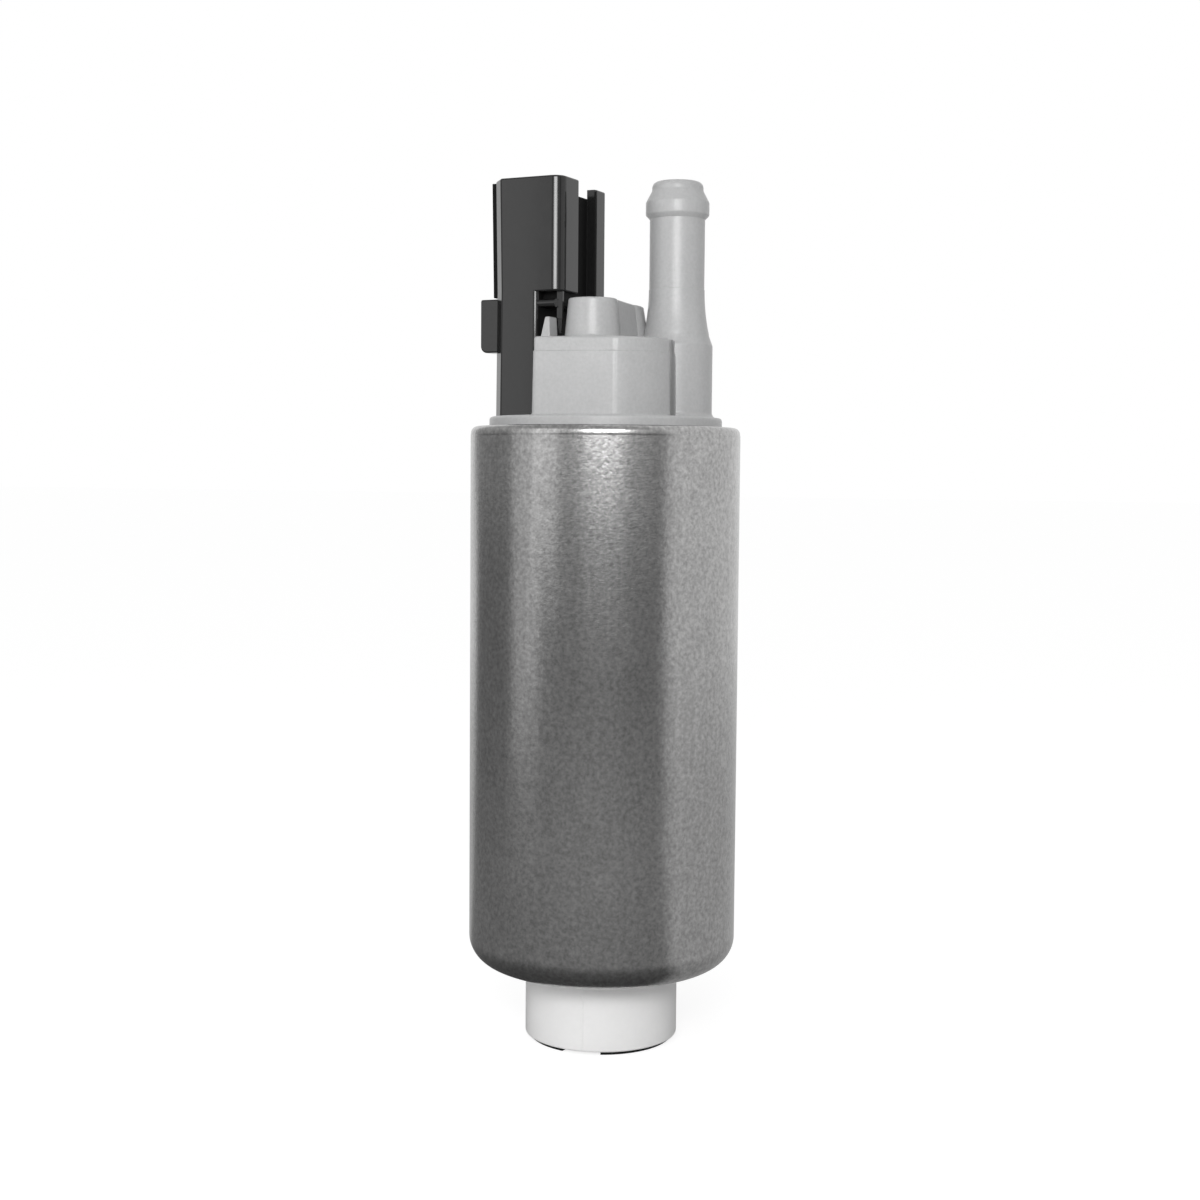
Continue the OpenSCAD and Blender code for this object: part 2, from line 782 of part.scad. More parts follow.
module latch_peg() {
    profile = [[-peg_w / 2, -1], [peg_w / 2, -1], [peg_top_w / 2, peg_h], [-peg_top_w / 2, peg_h]];
    translate([peg_x, peg_y, z_drum]) intersection_for(turn = [0, 90]) rotate([90, 0, turn])
        translate([0, 0, -peg_w]) linear_extrude(2 * peg_w) polygon(profile);
}

module cover_seal() {
    color(black) translate([0, 0, z_plug + seal_rise + seal_play + seal_wire / 2])
        rotate_extrude() translate([stack_r - seal_wire / 2 + 0.02, 0]) circle(d = seal_wire - 0.04);
}

module check_valve_seat() {
    color("goldenrod") translate([barb_x, barb_y, 0])
        ring(chamber_r - 0.01, seat_hole_d / 2, z_seat - seat_len, z_seat);
}

// Poppet: a notched disc that the flow passes, a cone in the seat and a guide stem
module check_valve_poppet() {
    notches = 3;
    stem_r = 1.2;
    stem_len = poppet_lift * 2;
    color(white) translate([barb_x, barb_y, 0]) difference() {
        union() {
            bar(poppet_r, z_poppet, z_poppet + poppet_t);
            translate([0, 0, z_poppet - 1.2])
                cylinder(r1 = seat_hole_d / 4, r2 = seat_hole_d / 2 - 0.1, h = 1.2);
            bar(stem_r, z_poppet + poppet_t - over, z_poppet + poppet_t + stem_len);
        }
        for (i = [0:notches - 1]) rotate([0, 0, i * 360 / notches])
            translate([poppet_r + 0.4, 0, 0]) bar(0.9, z_poppet - over, z_poppet + poppet_t + over);
    }
}

module check_valve_spring() {
    color(steel) translate([barb_x, barb_y, 0])
        coil((outlet_d / 2 + chamber_r) / 2 - 0.05, check_wire, z_poppet + poppet_t + touch,
            z_chamber_top - touch, 5);
}

// Plan of the shroud: chamfers on the outer side and one rounded inner corner
conn_chamfer = 2;
conn_round = 1.3;

module conn_plan(inner) {
    y = conn_l / 2;
    polygon([[-conn_x + conn_chamfer, -y], [-inner - conn_round, -y], [-inner, -y + conn_round],
        [-inner, y - conn_round], [-inner - conn_round, y], [-conn_x + conn_chamfer, y],
        [-conn_x, y - conn_chamfer], [-conn_x, conn_chamfer - y]]);
    for (side = [-1, 1])
        translate([-inner - conn_round, side * (y - conn_round)]) circle(r = conn_round);
}

// Keying channel in the inner face of the shroud
channel_y0 = -1.3;
channel_y1 = 3.8;
channel_t = 1.2;
channel_drop = 2;
rail_drop = 0.7;       // the rim beyond the channel ends lower
rail_proud = 0.35;     // and stands out from the inner face
// Keying rib on the outer face
rib_y = -3.5;
rib_w = 1;
rib_proud = 0.7;
rib_drop = 0.2;
rib_below = 0.4;       // the rib runs on below the shroud
// Lug on the outer face of the leg
lug_reach = 2.3;
lug_y = -2.9;
lug_w = 2.8;
lug_z0 = 9.6;
lug_h = 7.6;
// Finger that hooks over the drum, and the bar that it hangs on
finger_y0 = -5.4;
finger_y1 = -4.4;
finger_t = 0.6;
finger_in = 0.5;       // from the shroud's inner face
bar_y = 6.3;           // half length of the bar
bar_h = 2;

module connector_shell() {
    color(black) difference() {
        union() {
            translate([0, 0, z_leg]) linear_extrude(z_rim - z_leg) conn_plan(conn_in);
            translate([0, 0, z_deck + touch]) linear_extrude(leg_h) conn_plan(leg_in);
            block([-leg_in - over, -bar_y, z_leg - bar_h],
                [-conn_in - finger_in, bar_y, z_leg + over]);
            block([-conn_x - rib_proud, rib_y - rib_w / 2, z_leg - rib_below],
                [-conn_x + over, rib_y + rib_w / 2, z_rim - rib_drop]);
            block([-conn_in - over, channel_y1, z_leg],
                [-conn_in + rail_proud, conn_l / 2, z_rim - rail_drop]);
            connector_lug();
            block([-conn_in - finger_in - finger_t, finger_y0, z_drum + touch],
                [-conn_in - finger_in, finger_y1, z_leg + over]);
        }
        block([blade_x - socket_w / 2, -socket_l / 2, z_socket],
            [blade_x + socket_w / 2, socket_l / 2, z_rim + over]);
        block([-conn_in - channel_t, channel_y0, z_leg - bar_h - over],
            [-conn_in + over, channel_y1, z_rim + over]);
        block([-conn_in - channel_t - conn_wall - over, channel_y0, z_rim - channel_drop],
            [-conn_in + over, channel_y1, z_rim + over]);
        block([-conn_in - channel_t - conn_wall - over, channel_y1 - over, z_rim - rail_drop],
            [-conn_in + over, conn_l, z_rim + over]);
        for (side = [-1, 1]) translate([blade_x, side * blade_pitch / 2, 0])
            block([-blade_w / 2 - slot_play, -blade_t / 2 - slot_play, z_deck - over],
                [blade_w / 2 + slot_play, blade_t / 2 + slot_play, z_socket + over]);
    }
}

module connector_lug() {
    corner = 1.5;
    low = z_deck + lug_z0;
    translate([-conn_x - lug_reach, lug_y + lug_w / 2, 0]) rotate([90, 0, 0])
        linear_extrude(lug_w) union() {
            translate([corner, low]) square([lug_reach, lug_h]);
            translate([0, low + corner]) square([lug_reach, lug_h - corner]);
            translate([corner, low + corner]) circle(r = corner);
        }
}

pump_shell();
inlet_nose();
inlet_seal();
inlet_plate();
cam_ring();
outer_rotor();
inner_rotor();
outlet_plate();
relief_ball();
relief_spring();
lower_bearing();
thrust_washer();
drive_coupling();
armature_shaft();
armature_core();
armature_winding();
commutator();
magnet_front();
magnet_rear();
magnet_spring();
upper_bearing();
brush_positive();
brush_negative();
brush_spring_positive();
brush_spring_negative();
choke_positive();
choke_negative();
terminal_positive();
terminal_negative();
outlet_cover();
cover_seal();
check_valve_seat();
check_valve_poppet();
check_valve_spring();
connector_shell();
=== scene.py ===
"""Electric in-tank fuel pump, dressed for a studio picture.

The five pieces that show are built again here with rounded edges, draft and moulded detail. The
springs are copies of their own meshes, and the other pieces inside keep their solids and get
their materials. Lengths are in millimetres until a mesh is made. The frame's origin is on the
can axis at the foot, +Z is up and the connector is on the -X side.
"""

import json
import math

import bmesh
import bpy
from mathutils import Matrix, Vector


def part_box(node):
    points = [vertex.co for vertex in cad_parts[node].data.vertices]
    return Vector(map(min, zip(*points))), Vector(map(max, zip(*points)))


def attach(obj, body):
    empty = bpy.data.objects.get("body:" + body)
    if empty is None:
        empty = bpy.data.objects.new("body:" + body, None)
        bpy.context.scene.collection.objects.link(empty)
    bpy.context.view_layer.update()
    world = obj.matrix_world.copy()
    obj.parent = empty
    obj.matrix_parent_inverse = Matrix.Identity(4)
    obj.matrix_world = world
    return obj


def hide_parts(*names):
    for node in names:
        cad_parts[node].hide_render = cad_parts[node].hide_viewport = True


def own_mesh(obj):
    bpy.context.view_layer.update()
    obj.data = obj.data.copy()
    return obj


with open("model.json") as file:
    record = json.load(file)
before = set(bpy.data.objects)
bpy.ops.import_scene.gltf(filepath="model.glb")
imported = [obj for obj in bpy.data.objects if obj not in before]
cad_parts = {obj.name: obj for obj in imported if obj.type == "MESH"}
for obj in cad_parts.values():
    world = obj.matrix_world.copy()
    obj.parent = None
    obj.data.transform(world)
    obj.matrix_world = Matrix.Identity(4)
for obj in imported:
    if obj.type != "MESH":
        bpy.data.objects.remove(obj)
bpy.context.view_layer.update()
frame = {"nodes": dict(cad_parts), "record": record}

MM = 0.001
TURN = 360
PLAY = 0.1          # between a piece and the one that it sits in
PAST = 1.0          # how far a cutter or a buried end reaches past the face that it crosses


def box_mm(node):
    low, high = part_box(node)
    return low / MM, high / MM


def mount(name):
    return next(m for m in frame["record"]["mounts"] if m["name"] == name)


# Sizes that the frame gives
can_low, can_high = box_mm("pump_shell")
cover_low, cover_high = box_mm("outlet_cover")
nose_low, nose_high = box_mm("inlet_nose")
seal_high = box_mm("inlet_seal")[1]
conn_low, conn_high = box_mm("connector_shell")
blade_low, blade_high = box_mm("terminal_negative")
CAN_R, Z_CAN, Z_LIP = can_high.x, can_low.z, can_high.z
NOSE_R = mount("inlet_nose_outside")["dims"]["r_mm"]
BARB_X, BARB_Y = (v / MM for v in mount("outlet_bore")["pos_m"][:2])
BARB_R = mount("outlet_nipple")["dims"]["r_mm"]
BORE_R = mount("outlet_bore")["dims"]["r_mm"]
INLET_R = mount("inlet_bore")["dims"]["r_mm"]
Z_PLUG, Z_TIP = cover_low.z, cover_high.z
Z_RIM = conn_high.z

# Can
CAN_WALL = 1.5
CAN_CORNER = 4.1
LIP_ROUND = 0.9
LIP_EDGE = 0.35
LIP_BAND = 0.55                     # height of the band under the rolled lip
LIP_LEAN = 0.075                    # how far the band leans in
LIP_LINE = 0.03                     # depth of the line at the band's foot
LINE_UNDER, LINE_OVER = 0.12, 0.1   # the line's height under and over its deepest point
LIP_REACH = 2.6
STACK_R = CAN_R - CAN_WALL - PLAY
LIP_BORE = CAN_R - LIP_REACH

# Cover
FLANGE_R = LIP_BORE - PLAY
DECK_RISE = 1.4
Z_DECK = Z_LIP + DECK_RISE
DRUM_R = 10.2
Z_DRUM = Z_DECK + 11.1
Z_BOSS = Z_DRUM + 5.6
BOSS_R = 3.5
BOSS_HALF = 4.4
BOSS_DRAFT = math.tan(math.radians(5))
BRUSH_Y = 5.4

# Connector
CONN_X0, CONN_X1 = -15.9, -4.0      # the can's side of the shroud is at CONN_X1
CONN_Y = 6.75
Z_LEG = Z_DECK + 17.8               # top of the leg, where the wider box starts
LEG_IN = -7.7                       # inner face of the leg


def arc(cx, cy, r, start, end, count=8):
    """Points on an arc, both ends among them; angles in degrees."""
    return [(cx + r * math.cos(math.radians(start + (end - start) * i / count)),
             cy + r * math.sin(math.radians(start + (end - start) * i / count)))
            for i in range(count + 1)]


def make(name, points, faces):
    mesh = bpy.data.meshes.new(name)
    mesh.from_pydata([(x * MM, y * MM, z * MM) for x, y, z in points], [], faces)
    mesh.update()
    ob = bpy.data.objects.new(name, mesh)
    bpy.context.scene.collection.objects.link(ob)
    return ob


WELD = 2e-7         # metres: points closer than this are one


def face_out(ob):
    """Joins coinciding points and turns every face outwards."""
    bm = bmesh.new()
    bm.from_mesh(ob.data)
    bmesh.ops.remove_doubles(bm, verts=bm.verts, dist=WELD)
    bmesh.ops.recalc_face_normals(bm, faces=bm.faces)
    bm.to_mesh(ob.data)
    bm.free()
    return ob


def tube(name, profile, at=(0, 0), steps=192, start=0, sweep=TURN):
    """A closed profile of (radius, z) points turned about a vertical axis."""
    full = sweep == TURN
    rows = steps if full else steps + 1
    n = len(profile)
    points = []
    for i in range(rows):
        a = math.radians(start + sweep * i / steps)
        points += [(at[0] + r * math.cos(a), at[1] + r * math.sin(a), z) for r, z in profile]
    faces = []
    for i in range(steps):
        p, q = i * n, (i + 1) % rows * n
        faces += [(p + k, q + k, q + (k + 1) % n, p + (k + 1) % n) for k in range(n)]
    if not full:
        faces += [tuple(range(n)), tuple(range((rows - 1) * n, rows * n))]
    return face_out(make(name, points, faces))


def circle_plan(r, at=(0, 0), steps=96):
    """A round plan: (x, y, outward normal) at each point."""
    plan = []
    for i in range(steps):
        a = 2 * math.pi * i / steps
        c, s = math.cos(a), math.sin(a)
        plan.append((at[0] + r * c, at[1] + r * s, c, s))
    return plan


def round_plan(corners, steps=8):
    """Outline of a convex or concave polygon with rounded corners, as (x, y, outward normal).

    corners are (x, y, radius) counterclockwise; a radius of 0 makes a sharp corner."""
    plan = []
    count = len(corners)
    for i, (x, y, r) in enumerate(corners):
        before, after = corners[i - 1], corners[(i + 1) % count]
        u = Vector((x - before[0], y - before[1])).normalized()
        v = Vector((after[0] - x, after[1] - y)).normalized()
        turn = math.atan2(u.x * v.y - u.y * v.x, u.dot(v))
        side = 1 if turn > 0 else -1
        back = abs(r * math.tan(turn / 2))
        sx, sy = x - u.x * back, y - u.y * back
        nx, ny = u.y, -u.x
        cx, cy = sx - side * nx * r, sy - side * ny * r
        for k in range(steps + 1):
            a = turn * k / steps
            c, s = math.cos(a), math.sin(a)
            mx, my = nx * c - ny * s, nx * s + ny * c
            plan.append((cx + side * r * mx, cy + side * r * my, mx, my))
    return plan


def stack(name, plan, levels):
    """A solid from one plan at several levels; each level is (growth, z)."""
    return loft(name, [[(x + d * nx, y + d * ny, z) for x, y, nx, ny in plan] for d, z in levels])


def loft(name, rings):
    """A solid through rings of (x, y, z) points that have the same count."""
    n = len(rings[0])
    points = [p for ring in rings for p in ring]
    faces = [tuple(reversed(range(n))), tuple(range((len(rings) - 1) * n, len(rings) * n))]
    for i in range(len(rings) - 1):
        p, q = i * n, (i + 1) * n
        faces += [(p + k, p + (k + 1) % n, q + (k + 1) % n, q + k) for k in range(n)]
    return face_out(make(name, points, faces))


def outline(points):
    """A plan from a closed run of points, counterclockwise, with mitred outward normals."""
    plan = []
    count = len(points)
    for i, (x, y) in enumerate(points):
        before, after = points[i - 1], points[(i + 1) % count]
        u = Vector((x - before[0], y - before[1])).normalized()
        v = Vector((after[0] - x, after[1] - y)).normalized()
        nx, ny = u.y + v.y, -u.x - v.x
        scale = 2 / (nx * nx + ny * ny)
        plan.append((x, y, nx * scale, ny * scale))
    return plan


def rect(x0, y0, x1, y1, r, steps=5):
    """Plan of a rectangle with rounded corners."""
    return round_plan([(x0, y0, r), (x1, y0, r), (x1, y1, r), (x0, y1, r)], steps)


def taper(name, base, top, z0, z1, r=0.15):
    """A block from one rectangle (x0, y0, x1, y1) up to another, with rounded edges."""
    rings = []
    for d, h in [(0, 0)] + [(r * (1 - math.cos(a)), (z1 - z0) - r * (1 - math.sin(a)))
                            for a in [math.pi / 8 * k for k in range(5)]]:
        t = h / (z1 - z0)
        plan = rect(*(b + (c - b) * t for b, c in zip(base, top)), r, 4)
        rings.append([(x - d * nx, y - d * ny, z0 + h) for x, y, nx, ny in plan])
    return loft(name, rings)


def edge_out(z, r, steps=5):
    """Levels of a rounded top edge of a wall that ends at z."""
    return [(d - r, z - r + h) for d, h in arc(0, 0, r, 0, 90, steps)]


def edge_in(z, r, steps=5):
    """Levels of a rounded bottom edge of a wall that starts at z."""
    return [(d - r, z + r + h) for d, h in arc(0, 0, r, -90, 0, steps)]


def mouth(z, r, steps=4):
    """Levels of a cutter that leaves a rounded edge round the hole it cuts at level z."""
    return [(r - d, z - r + h) for d, h in arc(0, 0, r, 0, 90, steps)] + [(r, z + PAST)]


def apply_modifiers(ob):
    graph = bpy.context.evaluated_depsgraph_get()
    mesh = bpy.data.meshes.new_from_object(ob.evaluated_get(graph))
    ob.modifiers.clear()
    ob.data = mesh


def combine(ob, others, operation):
    for other in others:
        m = ob.modifiers.new("shape", "BOOLEAN")
        m.operation = operation
        m.solver = "EXACT"
        m.object = other
        apply_modifiers(ob)
        bpy.data.objects.remove(other)
    return ob


def add(ob, *others):
    return combine(ob, others, "UNION")


def cut(ob, *others):
    return combine(ob, others, "DIFFERENCE")


def finish(ob, node, material, angle=32):
    """Shades a piece by angle, gives it its body and material, and hides the node that it stands
    for.
    """
    bm = bmesh.new()
    bm.from_mesh(ob.data)
    bmesh.ops.remove_doubles(bm, verts=bm.verts, dist=WELD)
    bmesh.ops.dissolve_degenerate(bm, edges=bm.edges, dist=WELD)
    for face in bm.faces:
        face.smooth = True
    for edge in bm.edges:
        edge.smooth = len(edge.link_faces) == 2 and edge.calc_face_angle(0) < math.radians(angle)
    bm.to_mesh(ob.data)
    bm.free()
    m = ob.modifiers.new("normals", "WEIGHTED_NORMAL")
    m.keep_sharp = True
    m.weight = 60
    ob.data.materials.clear()
    ob.data.materials.append(material)
    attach(ob, "housing")
    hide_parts(node)


class Shader:
    """Adds nodes to a tree and joins them; a value may be a constant or another node's output."""

    def __init__(self, tree):
        self.tree = tree

    def node(self, kind, **values):
        n = self.tree.nodes.new(kind)
        for key, value in values.items():
            if hasattr(n, key) and key not in n.inputs:
                setattr(n, key, value)
            else:
                self.put(n.inputs[key], value)
        return n

    def put(self, socket, value):
        if isinstance(value, bpy.types.NodeSocket):
            self.tree.links.new(value, socket)
        else:
            socket.default_value = value

    def math(self, operation, *values):
        n = self.tree.nodes.new("ShaderNodeMath")
        n.operation = operation
        for socket, value in zip(n.inputs, values):
            self.put(socket, value)
        return n.outputs[0]

    def ramp(self, value, low, high, to_low, to_high, smooth=True):
        n = self.tree.nodes.new("ShaderNodeMapRange")
        n.interpolation_type = "SMOOTHSTEP" if smooth else "LINEAR"
        for key, v in (("Value", value), ("From Min", low), ("From Max", high),
                       ("To Min", to_low), ("To Max", to_high)):
            self.put(n.inputs[key], v)
        return n.outputs[0]

    def noise(self, scale, detail=2.0, roughness=0.5, stretch=(1, 1, 1)):
        """Noise on the object's own coordinates, with scale in cells per metre."""
        where = self.node("ShaderNodeTexCoord").outputs["Object"]
        if stretch != (1, 1, 1):
            turn = self.node("ShaderNodeMapping", Vector=where, Scale=stretch)
            where = turn.outputs["Vector"]
        n = self.node("ShaderNodeTexNoise", Vector=where, Scale=scale, Detail=detail,
                      Roughness=roughness)
        return n.outputs["Fac"]


STREAK_STRETCH = 0.06       # share of its scale that the streaks' noise keeps along Z


def material(name, colour, metallic=0.0, roughness=0.5, specular=0.5, grain=None, mottle=0.0,
             rough_mottle=0.0, mottle_size=8.0, flecks=None, streaks=None, subsurface=0.0):
    """A principled material with fine grain in its bump and soft mottling in its colour.

    grain is (size in mm, height in mm); mottle is the share by which the colour varies. flecks
    and streaks are (size in mm, share): fine speckle, and lines that run along Z. rough_mottle
    is how far the roughness varies, up and down, with the mottling."""
    mat = bpy.data.materials.new(name)
    mat.use_nodes = True
    sh = Shader(mat.node_tree)
    p = mat.node_tree.nodes["Principled BSDF"]
    p.inputs["Base Color"].default_value = (*colour, 1)
    p.inputs["Metallic"].default_value = metallic
    p.inputs["Roughness"].default_value = roughness
    p.inputs["Specular IOR Level"].default_value = specular
    if subsurface:
        p.inputs["Subsurface Weight"].default_value = subsurface
        p.inputs["Subsurface Radius"].default_value = (0.002, 0.002, 0.002)
        p.inputs["Subsurface Scale"].default_value = 1.0

    def vary(noise, middle, share):
        """Values that go from middle - share to middle + share over the noise's usual range."""
        return sh.ramp(noise, 0.3, 0.7, middle - share, middle + share, False)

    cloud = sh.noise(1 / (mottle_size * MM), 3.0, 0.6)
    shades = []
    if mottle:
        shades.append(vary(cloud, 1, mottle))
    if flecks:
        size, share = flecks
        shades.append(vary(sh.noise(1 / (size * MM), 3.0, 0.65), 1, share))
    if streaks:
        size, share = streaks
        shades.append(vary(sh.noise(1 / (size * MM), 2.0, 0.6, (1, 1, STREAK_STRETCH)), 1, share))
    if shades:
        level = shades[0]
        for other in shades[1:]:
            level = sh.math("MULTIPLY", level, other)
        tint = sh.node("ShaderNodeVectorMath", operation="SCALE")
        tint.inputs[0].default_value = colour
        sh.put(tint.inputs["Scale"], level)
        sh.put(p.inputs["Base Color"], tint.outputs[0])
    if rough_mottle:
        sh.put(p.inputs["Roughness"], vary(cloud, roughness, rough_mottle))
    if grain:
        size, height = grain
        bump = sh.node("ShaderNodeBump", Strength=1.0, Distance=height * MM,
                       Height=sh.noise(1 / (size * MM), 2.0, 0.6))
        sh.put(p.inputs["Normal"], bump.outputs["Normal"])
    return mat


def grey(v, warm=0.0):
    """A grey of value v; warm is the share that goes from its blue to its red."""
    return (v * (1 + warm), v, v * (1 - warm))


# Materials of the pieces that show, then of the ones inside
steel_can = material("satin steel can", grey(0.38, 0.006), 1.0, 0.235, grain=(0.4, 0.014),
                     mottle=0.05, mottle_size=7, flecks=(0.6, 0.26), streaks=(1.3, 0.035))
grey_plastic = material("grey cover plastic", grey(0.445, -0.004), 0.0, 0.33, 0.5,
                        grain=(0.35, 0.005), mottle=0.025, rough_mottle=0.03, mottle_size=4,
                        flecks=(0.45, 0.055))
white_plastic = material("white nose plastic", grey(0.90, 0.004), 0.0, 0.34, 0.5,
                         grain=(0.5, 0.003), mottle=0.015, mottle_size=7, flecks=(0.6, 0.012),
                         subsurface=0.15)
black_plastic = material("black connector plastic", grey(0.009), 0.0, 0.11, 0.48,
                         grain=(0.35, 0.0012), mottle=0.15, rough_mottle=0.02, mottle_size=3,
                         flecks=(0.5, 0.2))
# Painted shade: a darker, duller copy of the connector's black for its shaded faces
painted_shade_black = material("painted shade black connector plastic", grey(0.006), 0.0, 0.7, 0.15,
                      grain=(0.3, 0.004), flecks=(0.5, 0.2))
rubber = material("black rubber", grey(0.010), 0.0, 0.6, 0.3, grain=(0.2, 0.004), mottle=0.1)
inner = {
    "sintered": material("sintered iron", grey(0.30), 1.0, 0.42, grain=(0.12, 0.004),
                         flecks=(0.3, 0.12), rough_mottle=0.05, mottle_size=3),
    "rotor_steel": material("rotor steel", grey(0.24), 1.0, 0.34, grain=(0.1, 0.003),
                            flecks=(0.3, 0.08), rough_mottle=0.05, mottle_size=3),
    "bright_steel": material("bright steel", grey(0.62), 1.0, 0.16, grain=(0.2, 0.001),
                             rough_mottle=0.03, mottle_size=2, streaks=(0.3, 0.04)),
    "spring_steel": material("spring steel", grey(0.48), 1.0, 0.25, grain=(0.15, 0.001),
                             mottle=0.06, rough_mottle=0.04, mottle_size=2),
    "bronze": material("bearing bronze", (0.60, 0.42, 0.20), 1.0, 0.35, grain=(0.1, 0.003),
                       mottle=0.08, mottle_size=2, flecks=(0.2, 0.12)),
    "dark_plastic": material("dark plastic", grey(0.07), 0.0, 0.42, grain=(0.3, 0.003),
                             mottle=0.08, rough_mottle=0.04, mottle_size=3),
    "lamination": material("laminations", grey(0.26), 1.0, 0.4, grain=(0.5, 0.01),
                           mottle=0.06, mottle_size=3, streaks=(0.5, 0.08)),
    "copper": material("enamelled copper", (0.55, 0.25, 0.10), 0.6, 0.32, grain=(0.6, 0.08),
                       mottle=0.15, mottle_size=1.5),
    "carbon": material("carbon", grey(0.05), 0.0, 0.55, grain=(0.15, 0.004),
                       flecks=(0.15, 0.3), mottle=0.1),
    "ferrite": material("ferrite", grey(0.10), 0.3, 0.5, grain=(0.2, 0.004), mottle=0.15),
    "tin": material("tinned blade", grey(0.62, 0.01), 1.0, 0.24, grain=(0.4, 0.001),
                    mottle=0.05, rough_mottle=0.05, mottle_size=2),
    "white_plastic": white_plastic,
    "rubber": rubber,
}
slot_of = {s["node"]: s["material_slot"] for s in frame["record"]["subparts"]}
for node, ob in frame["nodes"].items():
    mat = inner.get(slot_of[node])
    if mat:
        ob.data.materials.clear()
        ob.data.materials.append(mat)

# Springs: each is a copy of its node's mesh on the housing, and the node is hidden
for joint in frame["record"]["behaviour"]["joints"]:
    for row in joint.get("deforming_nodes", ()):
        node, fixed = row["node"], row["fixed_end_z_m"]
        coil = bpy.data.objects.new(node + ".coil", frame["nodes"][node].data.copy())
        bpy.context.scene.collection.objects.link(coil)
        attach(coil, "housing")
        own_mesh(coil)
        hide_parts(node)

# Can: bottom turned in, lip rolled over the cover
HOLE_R = NOSE_R + PLAY
HOLE_EDGE = 0.25
Z_LINE = Z_LIP - LIP_ROUND - LIP_BAND
shell_profile = (
    [(HOLE_R, Z_CAN + HOLE_EDGE)]
    + arc(HOLE_R + HOLE_EDGE, Z_CAN + HOLE_EDGE, HOLE_EDGE, 180, 270, 4)[1:]
    + arc(CAN_R - CAN_CORNER, Z_CAN + CAN_CORNER, CAN_CORNER, -90, 0, 24)
    + [(CAN_R, Z_LINE - LINE_UNDER), (CAN_R - LIP_LINE, Z_LINE), (CAN_R, Z_LINE + LINE_OVER)]
    + arc(CAN_R - LIP_LEAN - LIP_ROUND, Z_LIP - LIP_ROUND, LIP_ROUND, 7, 90, 14)
    + arc(LIP_BORE + LIP_EDGE, Z_LIP - LIP_EDGE, LIP_EDGE, 90, 180, 5)
    + [(LIP_BORE, Z_LIP - CAN_WALL), (CAN_R - CAN_WALL, Z_LIP - CAN_WALL)]
    + arc(CAN_R - CAN_CORNER, Z_CAN + CAN_CORNER, CAN_CORNER - CAN_WALL, 0, -90, 12)
    + [(HOLE_R, Z_CAN + CAN_WALL)])
shell = tube("can_shell", shell_profile, steps=256)
finish(shell, "pump_shell", steel_can)

# Nose: rounded foot with the seal groove, bore, plenum, and the flange that the can clamps
NOSE_EDGE = 0.3
INLET_EDGE = 0.5
NOSE_NECK = 0.2                     # how far the nose draws in where it enters the can
Z_FOOT = nose_low.z + 0.1           # the seal reaches the ground, the nose stops short of it
Z_NOSE_TOP = nose_high.z
PLENUM_R, PLENUM_H = 9.5, 2.2
ring_out, ring_in = seal_high.x + 0.6, 8.3      # the groove's walls
RING_EDGE = 0.1
groove_top = seal_high.z
nose_profile = (
    arc(INLET_R + INLET_EDGE, Z_FOOT + INLET_EDGE, INLET_EDGE, 180, 270, 5)
    + [(ring_in, Z_FOOT), (ring_in, groove_top), (ring_out, groove_top)]
    + arc(ring_out + RING_EDGE, Z_FOOT + RING_EDGE, RING_EDGE, 180, 270, 3)
    + arc(NOSE_R - NOSE_EDGE, Z_FOOT + NOSE_EDGE, NOSE_EDGE, -90, 0, 8)
    + [(NOSE_R, Z_CAN - 0.3), (NOSE_R - NOSE_NECK, Z_CAN - NOSE_NECK),
       (NOSE_R - NOSE_NECK, Z_CAN + CAN_WALL)]
    + arc(STACK_R - CAN_CORNER + CAN_WALL, Z_CAN + CAN_CORNER, CAN_CORNER - CAN_WALL, -90, 0, 8)
    + [(STACK_R, Z_NOSE_TOP), (PLENUM_R, Z_NOSE_TOP), (PLENUM_R, Z_NOSE_TOP - PLENUM_H),
       (INLET_R, Z_NOSE_TOP - PLENUM_H)])
nose = tube("nose", nose_profile, steps=256)
# The mould line down the nose's front: its direction, half its width and its height
LINE_AT, LINE_W, LINE_H = math.radians(-77), 0.2, 0.07
LINE_ROOT, LINE_SKIN = -0.3, -0.01  # its root inside the nose, and its edges just under the surface
outwards = Vector((math.cos(LINE_AT), math.sin(LINE_AT)))
sideways = Vector((-math.sin(LINE_AT), math.cos(LINE_AT)))
line = [sideways * w + outwards * (NOSE_R + h) for w, h in
        ((-LINE_W, LINE_ROOT), (LINE_W, LINE_ROOT), (LINE_W, LINE_SKIN), (0, LINE_H),
         (-LINE_W, LINE_SKIN))]
add(nose, loft("line", [[(v.x, v.y, z) for v in line] for z in (Z_FOOT + NOSE_EDGE, Z_CAN - 0.4)]))
finish(nose, "inlet_nose", white_plastic)

# Seal: part ring with rounded edges, open over a short arc
SEAL_GAP, SEAL_GAP_AT = 32, -80     # degrees: the width of its gap and the middle's direction
seal_r = 0.1
seal_in, seal_out = ring_in + PLAY, ring_out - PLAY
seal_profile = (arc(seal_in + seal_r, seal_r, seal_r, 180, 270, 4)
                + arc(seal_out - seal_r, seal_r, seal_r, -90, 0, 4)
                + [(seal_out, groove_top), (seal_in, groove_top)])
seal = tube("seal", seal_profile, steps=160, start=SEAL_GAP_AT + SEAL_GAP / 2,
            sweep=TURN - SEAL_GAP)
finish(seal, "inlet_seal", rubber)

